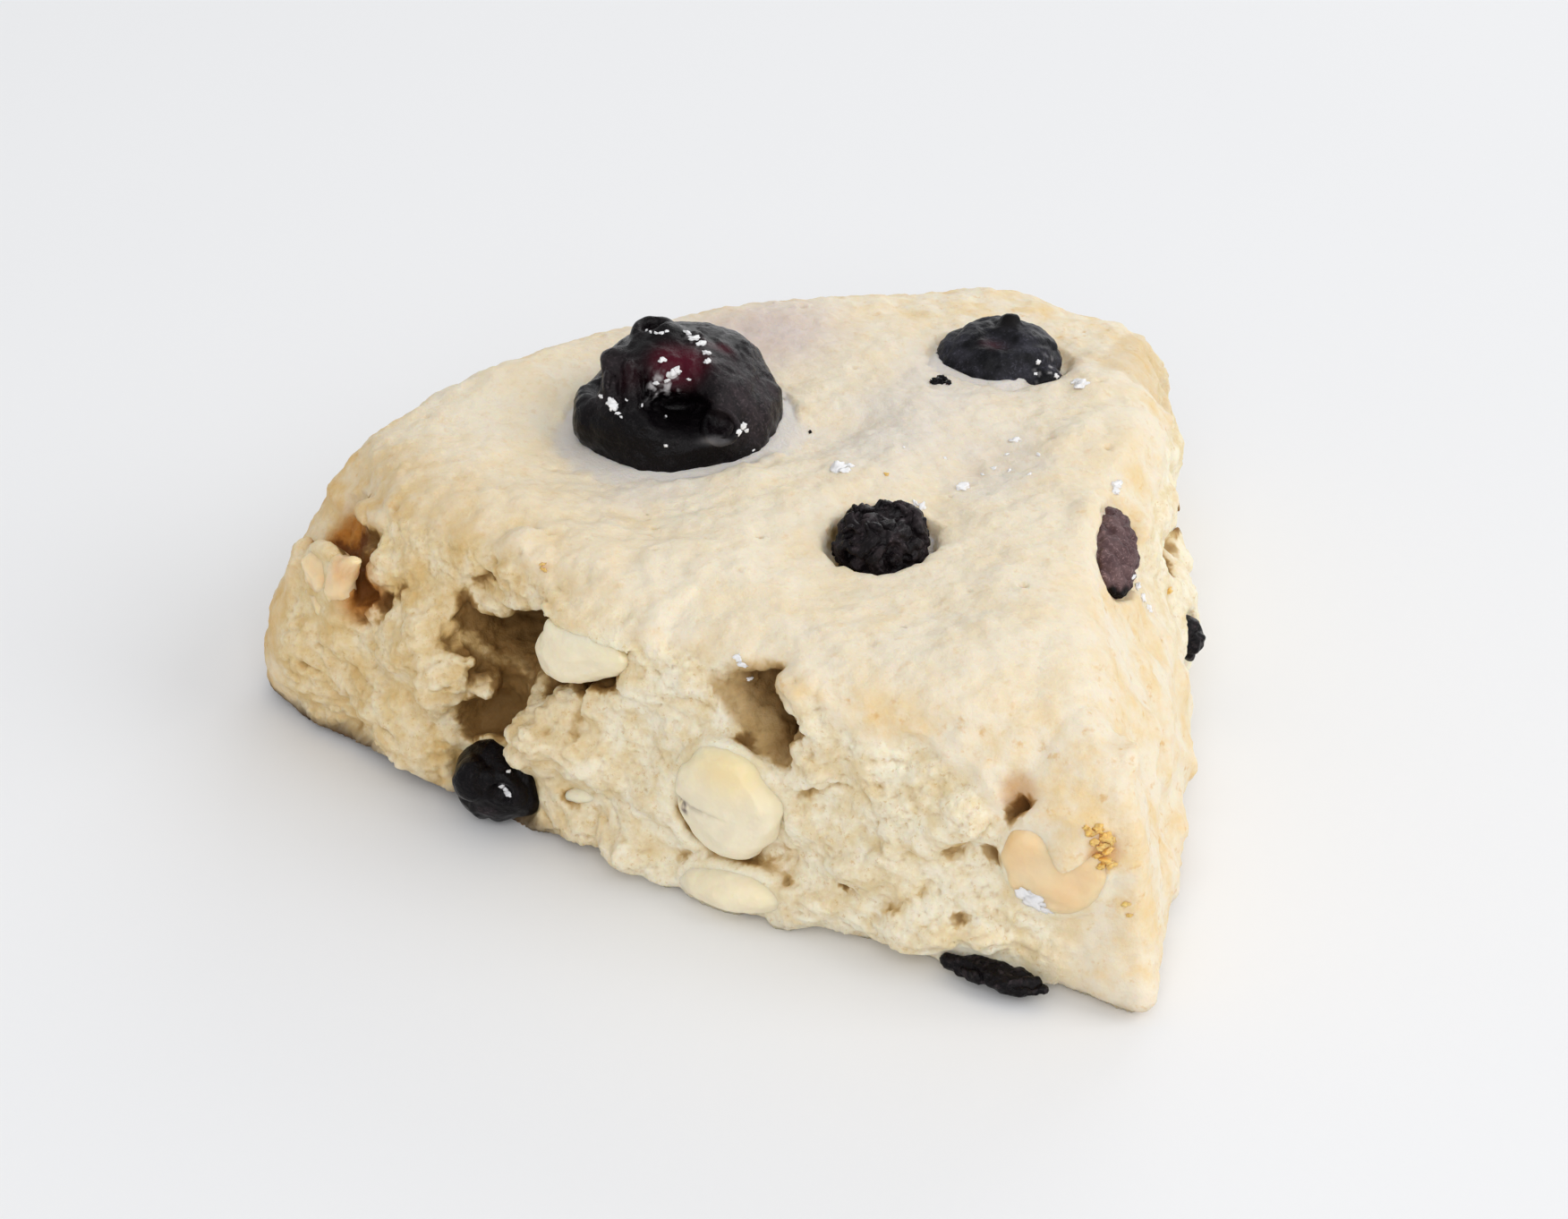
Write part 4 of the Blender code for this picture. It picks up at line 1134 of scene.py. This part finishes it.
# %% How closed in is each point?
def enclosed(obj, reach, triangles=36000, rays=20):
    """How much of the way out is blocked within `reach` of each point, from 0 to 1."""
    copy = link(bpy.data.objects.new("coarse", obj.data.copy()))
    thin_out(copy, triangles)
    coarse, outward = points_of(copy), normals_of(copy)
    tree = BVHTree.FromPolygons(coarse.tolist(), [f.vertices for f in copy.data.polygons])
    bpy.data.objects.remove(copy)
    chance = np.random.default_rng(4)
    blocked = np.zeros(len(coarse))
    for k, (place, normal) in enumerate(zip(coarse, outward)):
        ways = chance.normal(size=(rays, 3))
        ways = ways / np.linalg.norm(ways, axis=1)[:, None] + normal * 1.02
        start = place + normal * 0.15
        for way in ways:
            distance = tree.ray_cast(start, way, reach)[3]
            blocked[k] += 0 if distance is None else 1 - distance / reach
    near = KDTree(len(coarse))
    for k, place in enumerate(coarse):
        near.insert(place, k)
    near.balance()
    found = [near.find_n(point, 5) for point in points_of(obj)]
    return np.array([sum(blocked[f[1]] for f in five) / 5 for five in found]) / rays


closed_in = enclosed(dough, 14.0)
# The hollow over the disc lies open to the light, but its walls get one even level of painted shade.
along, height, out = in_side(points, FRONT)
in_hollow = smooth_step(6.4, 4.2, np.hypot(along - 36.0, height - 19.5)) * smooth_step(-0.4, -1.4, out)
closed_in += (0.27 - closed_in) * 0.75 * in_hollow
# Painted shade: the number deep darkens closed-in places.
leave_number(dough, "occlusion_shade", smooth_step(0.10, 0.38, closed_in))
print("on average a point is closed in by", round(float(closed_in.mean()), 2))

# %% Browning and painted shade: the rim, the left end and the foot
leave_number(dough, "rim", smooth_step(26.0, 21.5, points[:, 2]) * (1 - torn))
# The wedge's left end, on the side away from the light, gets painted shade: darker and warmer.
warm = smooth_step(45, 64, along + 2.0 * waves(points, 5.0, 21.0)) * smooth_step(-17, -9, out)
leave_number(dough, "warm", warm * smooth_step(27.5, 24.5, height))
# The bottom crust is brown, and painted contact shadow darkens it along the foot, widest at the left end.
browned_foot_and_shadow = smooth_step(2.6, 1.1, points[:, 2] + 0.5 * waves(points, 2.5, 31.0))
towards_left = smooth_step(46, 62, along) * smooth_step(-20, -12, out)
leave_number(dough, "foot", browned_foot_and_shadow * (0.15 + 0.85 * towards_left))
print("browned foot:", round(float(browned_foot_and_shadow.mean() * 100), 1), "% of the points")

# %% Sugar and painted shade: caramel, a thin film and a stain
# Browner in the corner's two hollows, painted shade in the gap under the flap's edge, and caramel on the
# crumbled spot beside the flap: a side and a place, the radius and the share.
CARAMEL_AND_SHADE_SPOTS = [
    (CORNER, (84.0, 17.8, -4.6), 3.4, 1.0),
    (CORNER, (78.2, 16.4, -3.2), 3.2, 0.9),
    (TOE, (11.9, 18.0, -2.6), 1.9, 0.6),
    (TOE, (4.7, 15.2, -0.6), 1.5, 0.7),
]
# Where a thin film lies on the crust: x, y, the half sizes, how flat it is and its turn.
FILMS = [
    (8, 56, (13, 8), 1.6, 35),
    (21, 62, (10, 8), 1.8, 0),
    (-17, 56.5, (7, 3.6), 1.5, 0),
    (12, 46, (9, 5), 1.4, 40),
]

caramel_and_shade = np.zeros(len(points))
for side, place, radius, share in CARAMEL_AND_SHADE_SPOTS:
    away = np.linalg.norm(points - np.array(on_side(side, *place)), axis=1)
    caramel_and_shade = np.maximum(caramel_and_shade, share * smooth_step(1.3 * radius, 0.6 * radius, away))
leave_number(dough, "caramel_and_shade", caramel_and_shade)
film = np.clip(sum(over_top(points, *place) for place in FILMS), 0, 1) * (1 - torn)
leave_number(dough, "glaze", np.maximum(0.55 * film, poured))
stained = over_top(points, 5, 76, (10, 7.5), 1.2, 20) + 0.5 * over_top(points, -3, 79, (8, 6))
leave_number(dough, "stain", stained)
print("the film covers", round(float((film > 0.5).mean() * 100), 1), "% of the points")

# %% [markdown]
# ### The dough's finish
#
# Baked flour scatters light inside itself, so the dough glows a little and its shadows turn ochre. The crust
# is cream with faint golden mottles along the rim; the torn crumb is greyer, with ochre in every pore. Shade
# is
# also painted in: ochre and brown in hollows and closed-in places, darker and warmer at the left end, and a
# dark band of contact shadow along the foot; raised crumb gets painted light. The sugar glaze is hardly a
# colour: it turns the crust milky and gives it a soft shine.

# %% The dough's colours
CREAM, GOLD = (0.82, 0.73, 0.57), (0.79, 0.58, 0.29)  # the crust and its mottles
FRECKLE, DIMPLE = (0.70, 0.43, 0.16), (0.72, 0.52, 0.28)
CRUMB, DARKER_CRUMB = (0.88, 0.81, 0.64), (0.76, 0.62, 0.38)
# Painted shade and light: the left end darker and warmer, raised crumb lighter.
LEFT_END_SHADE, RIDGE_LIGHT = (0.87, 0.74, 0.52), (0.86, 0.79, 0.61)
# Ochre pits in the crumb, and the painted shade of its hollows.
PIT, HOLLOW_SHADE_COLOUR = (0.60, 0.38, 0.14), (0.58, 0.38, 0.14)
# Painted shade in recesses and closed-in places.
RECESS_SHADE, DEEP_SHADE = (0.54, 0.35, 0.13), (0.20, 0.10, 0.025)
# Caramel brown, which also paints shade into the gap under the flap.
CARAMEL_AND_SHADE_BROWN = (0.66, 0.36, 0.12)
GLAZED, LILAC = (0.64, 0.605, 0.585), (0.50, 0.40, 0.44)
# The brown bottom crust, darkened further as painted contact shadow.
BOTTOM_CRUST_AND_SHADOW = (0.075, 0.038, 0.013)
print("the crust goes from", CREAM, "to", GOLD)

# %% The dough recipe
bread = Recipe("baked_dough", Specular_IOR_Level=0.16, Subsurface_Weight=0.30,
               Subsurface_Scale=1.1 * MM, Subsurface_Radius=(1.0, 0.55, 0.22))
is_torn, hollow_shade, rim = bread.number("torn"), bread.number("hollow_shade"), bread.number("rim")
wet, stain, painted_occlusion = bread.number("glaze"), bread.number("stain"), bread.number("occlusion_shade")
mottle = bread.step(bread.noise(4.6, 5, 0.66), 0.37, 0.72)
freckle = bread.step(bread.noise(1.3, 3, 0.6), 0.58, 0.74)
crumb_cloud = bread.step(bread.noise(3.0, 5, 0.65), 0.36, 0.66)
browned = bread.times(mottle, bread.step(rim, 0.0, 0.8, 0.36, 0.90))
crust = bread.mix(browned, CREAM, GOLD)
crust = bread.mix(bread.times(freckle, bread.step(rim, 0.0, 0.8, 0.25, 0.65)), crust, FRECKLE)
dimples = bread.step(bread.noise(0.9, 4, 0.7), 0.55, 0.70)
crust = bread.mix(bread.times(dimples, 0.30), crust, DIMPLE)
crumb = bread.mix(crumb_cloud, CRUMB, DARKER_CRUMB)
colour = bread.mix(is_torn, crust, crumb)
# Painted shade at the left end, multiplied in with a little unevenness.
left_end_shade_share = bread.times(bread.number("warm"), bread.step(bread.noise(3.4, 4, 0.6), 0.34, 0.62, 0.40, 1.0))
colour = bread.mix(left_end_shade_share, colour, LEFT_END_SHADE, "MULTIPLY")
# Painted light on raised crumb.
colour = bread.mix(bread.times(bread.number("high"), 0.75), colour, RIDGE_LIGHT)
pits = bread.times(bread.step(bread.noise(0.55, 4, 0.7), 0.57, 0.68), is_torn)
colour = bread.mix(bread.times(pits, 0.50), colour, PIT)
# Painted shade in the hollows.
colour = bread.mix(bread.times(hollow_shade, 0.75), colour, HOLLOW_SHADE_COLOUR)
# Painted shade: ochre where a point is partly closed in, dark brown where it is deep in.
colour = bread.mix(bread.step(painted_occlusion, 0.10, 0.60, 0.0, 0.85), colour, RECESS_SHADE)
colour = bread.mix(bread.step(painted_occlusion, 0.35, 1.00, 0.0, 0.90), colour, DEEP_SHADE)
# Browner in the corner's hollows, painted shade in the gap under the flap, and caramel beside it.
colour = bread.mix(bread.number("caramel_and_shade"), colour, CARAMEL_AND_SHADE_BROWN, "MULTIPLY")
colour = bread.mix(bread.times(wet, 0.80), colour, GLAZED)
colour = bread.mix(bread.times(stain, 0.55), colour, LILAC)
# The bottom crust and the painted contact shadow along the foot.
colour = bread.mix(bread.times(bread.number("foot"), 0.96), colour, BOTTOM_CRUST_AND_SHADOW)
fine = bread.bump(bread.noise(0.40, 3, 0.65), 0.12, bread.step(is_torn, 0, 1, 0.50, 0.80))
bread.finish(
    Base_Color=colour,
    Roughness=bread.step(wet, 0.1, 0.9, 0.66, 0.36),
    Normal=bread.bump(bread.noise(1.1, 4, 0.65), 0.30, bread.step(is_torn, 0, 1, 0.45, 0.55), fine),
)

# %% Thin the dough out and dress it
DOUGH_TRIANGLES = 192000
thin_out(dough, DOUGH_TRIANGLES)
dress(dough, bread.material, "crust", "dough")

# %% [markdown]
# ## Flecks of icing, crumbs and bubbles of caramel
#
# What makes it look baked and handled is small: white flecks where the icing set, black crumbs of berry, and
# caramel that bubbled beside the flap. A few white flecks on the burst berry's crown are a painted highlight.
# Their places are given as they are seen in the picture, which is 1752 by 1362 points. A ray from the camera
# finds the surface there, so each fleck lies on what carries it.

# %% Find the surface behind a point of the picture
PICTURE = (1752, 1362)
HALF_VIEW = 18 / LENS  # half the width of the film over the lens's length
carriers = [BVHTree.FromPolygons(points_of(obj).tolist(), [f.vertices for f in obj.data.polygons])
            for obj in [dough] + toppings]


def seen_at(x, y):
    """The nearest surface behind a point of the picture, and the way it faces."""
    right, up = (2 * x / PICTURE[0] - 1) * HALF_VIEW, (PICTURE[1] - 2 * y) / PICTURE[0] * HALF_VIEW
    way = (camera.rotation_euler.to_matrix() @ Vector((right, up, -1))).normalized()
    hits = [tree.ray_cast(CAMERA_STAND, way) for tree in carriers]
    place, facing, _, distance = min((hit for hit in hits if hit[0]), key=lambda hit: hit[3])
    return place, facing


def add_fleck(bm, x, y, size, flat, seed):
    """A small uneven lump of this size in millimetres, pressed onto the surface."""
    place, facing = seen_at(x, y)
    axes = facing.to_track_quat("Z", "Y").to_matrix()
    reach = (size * 0.50, size * (0.34 + 0.12 * sin(seed * 7)), size * flat * 0.5)
    for vertex in add_ball(bm, place + facing * size * flat * 0.05, axes, reach, 0.9, seed * 1.3):
        at = vertex.co / MM
        vertex.co += (at - place).length * MM * 0.10 * noise.noise_vector(at * 2 / size)


def scatter(name, material, slot, places, flat):
    """One piece made of all flecks of a kind; each is x, y in the picture and a size in millimetres."""
    bm = bmesh.new()
    for number, (x, y, size) in enumerate(places):
        add_fleck(bm, x, y, size, flat, number + 1)
    return dress(object_from(bm, name), material, slot)


# %% Icing, black crumbs and caramel
icing = Recipe("icing", Roughness=0.35, Specular_IOR_Level=0.35, Subsurface_Weight=0.25,
               Subsurface_Scale=0.8 * MM, Subsurface_Radius=(1.0, 0.9, 0.8))
icing.finish(
    Base_Color=icing.mix(icing.noise(0.6, 3), (0.86, 0.84, 0.84), (0.93, 0.92, 0.92)),
    Normal=icing.bump(icing.noise(0.5, 3), 0.08, 0.6),
)
ICING_ON_CRUST = [
    (936, 523, 1.5), (944, 526, 1.1), (950, 521, 0.8), (1075, 545, 1.3), (1135, 492, 1), (1125, 508, 0.5),
    (1128, 526, 0.6), (1160, 508, 0.5), (1110, 523, 0.5), (1208, 430, 1.5), (1203, 427, 0.9),
    (1180, 420, 0.5), (1150, 530, 0.5), (1098, 530, 0.35), (1022, 562, 0.9), (1030, 566, 1.1),
    (1248, 542, 1.2), (1247, 549, 0.9), (1056, 512, 0.4), (1010, 500, 0.35), (824, 735, 0.7),
    (829, 742, 0.8), (838, 758, 0.6), (1266, 645, 0.7), (1271, 655, 1), (1277, 668, 1.1),
    (1284, 680, 0.8),
]
ICING_AND_GLINTS_ON_BERRIES = [
    (683, 450, 0.9), (686, 455, 0.8), (672, 443, 0.5), (690, 462, 0.5), (694, 466, 0.4), (717, 453, 0.5),
    (744, 465, 0.35), (744, 498, 0.35), (740, 402, 0.7), (752, 418, 0.9), (757, 414, 0.7),
    (733, 428, 0.5), (745, 425, 0.6), (768, 372, 0.9), (775, 378, 1), (783, 384, 1), (789, 394, 0.8),
    (791, 404, 0.7), (830, 476, 0.7), (826, 483, 0.6), (834, 481, 0.5), (842, 503, 0.3), (700, 447, 0.4),
    (770, 424, 0.4), (565, 882, 0.7), (568, 887, 0.8), (561, 878, 0.5), (568, 862, 0.4), (1160, 405, 0.5),
    # The last five, from (722, 369), are a painted highlight: a white crescent on the burst berry's crown
    # ring.
    (1157, 418, 0.4), (722, 369, 0.4), (727, 371, 0.45), (733, 372, 0.45), (739, 372, 0.45),
    (745, 370, 0.4),
]
scatter("icing_flecks", icing.material, "chip", ICING_ON_CRUST + ICING_AND_GLINTS_ON_BERRIES, 0.42)

FLAKE_ON_TIP_CHIP = [(1145, 999, 1.5), (1154, 1006, 1.8), (1163, 1015, 1.5)]
scatter("white_flake", icing.material, "chip", FLAKE_ON_TIP_CHIP, 0.18)

BLACK_CRUMBS = [(1048, 427, 1.1), (1054, 424, 0.9), (1060, 428, 0.6), (1041, 427, 0.5), (905, 483, 0.5)]
scatter("berry_crumbs", sound_skin, "berry", BLACK_CRUMBS, 0.7)

CARAMEL_BUBBLES = [
    (1218, 930, 0.8), (1226, 927, 0.9), (1234, 935, 1.1), (1222, 941, 0.8), (1230, 946, 1),
    (1238, 950, 1), (1226, 956, 0.8), (1235, 961, 1.1), (1229, 968, 0.7), (1241, 966, 0.8),
    (1241, 940, 0.8), (1213, 925, 0.5), (1258, 1010, 0.7), (1262, 1022, 0.5), (608, 637, 0.7),
    (606, 630, 0.5), (1306, 660, 0.8), (990, 530, 0.5),
]
crisp = chocolate("caramel_crisp", (0.88, 0.54, 0.19), (0.86, 0.44, 0.11), 0.30)
bubbles = scatter("caramel_bubbles", crisp, "toasted_chip", CARAMEL_BUBBLES, 0.7)
leave_number(bubbles, "toast", 0.5 + 0.9 * waves(points_of(bubbles), 1.2, 2.0))
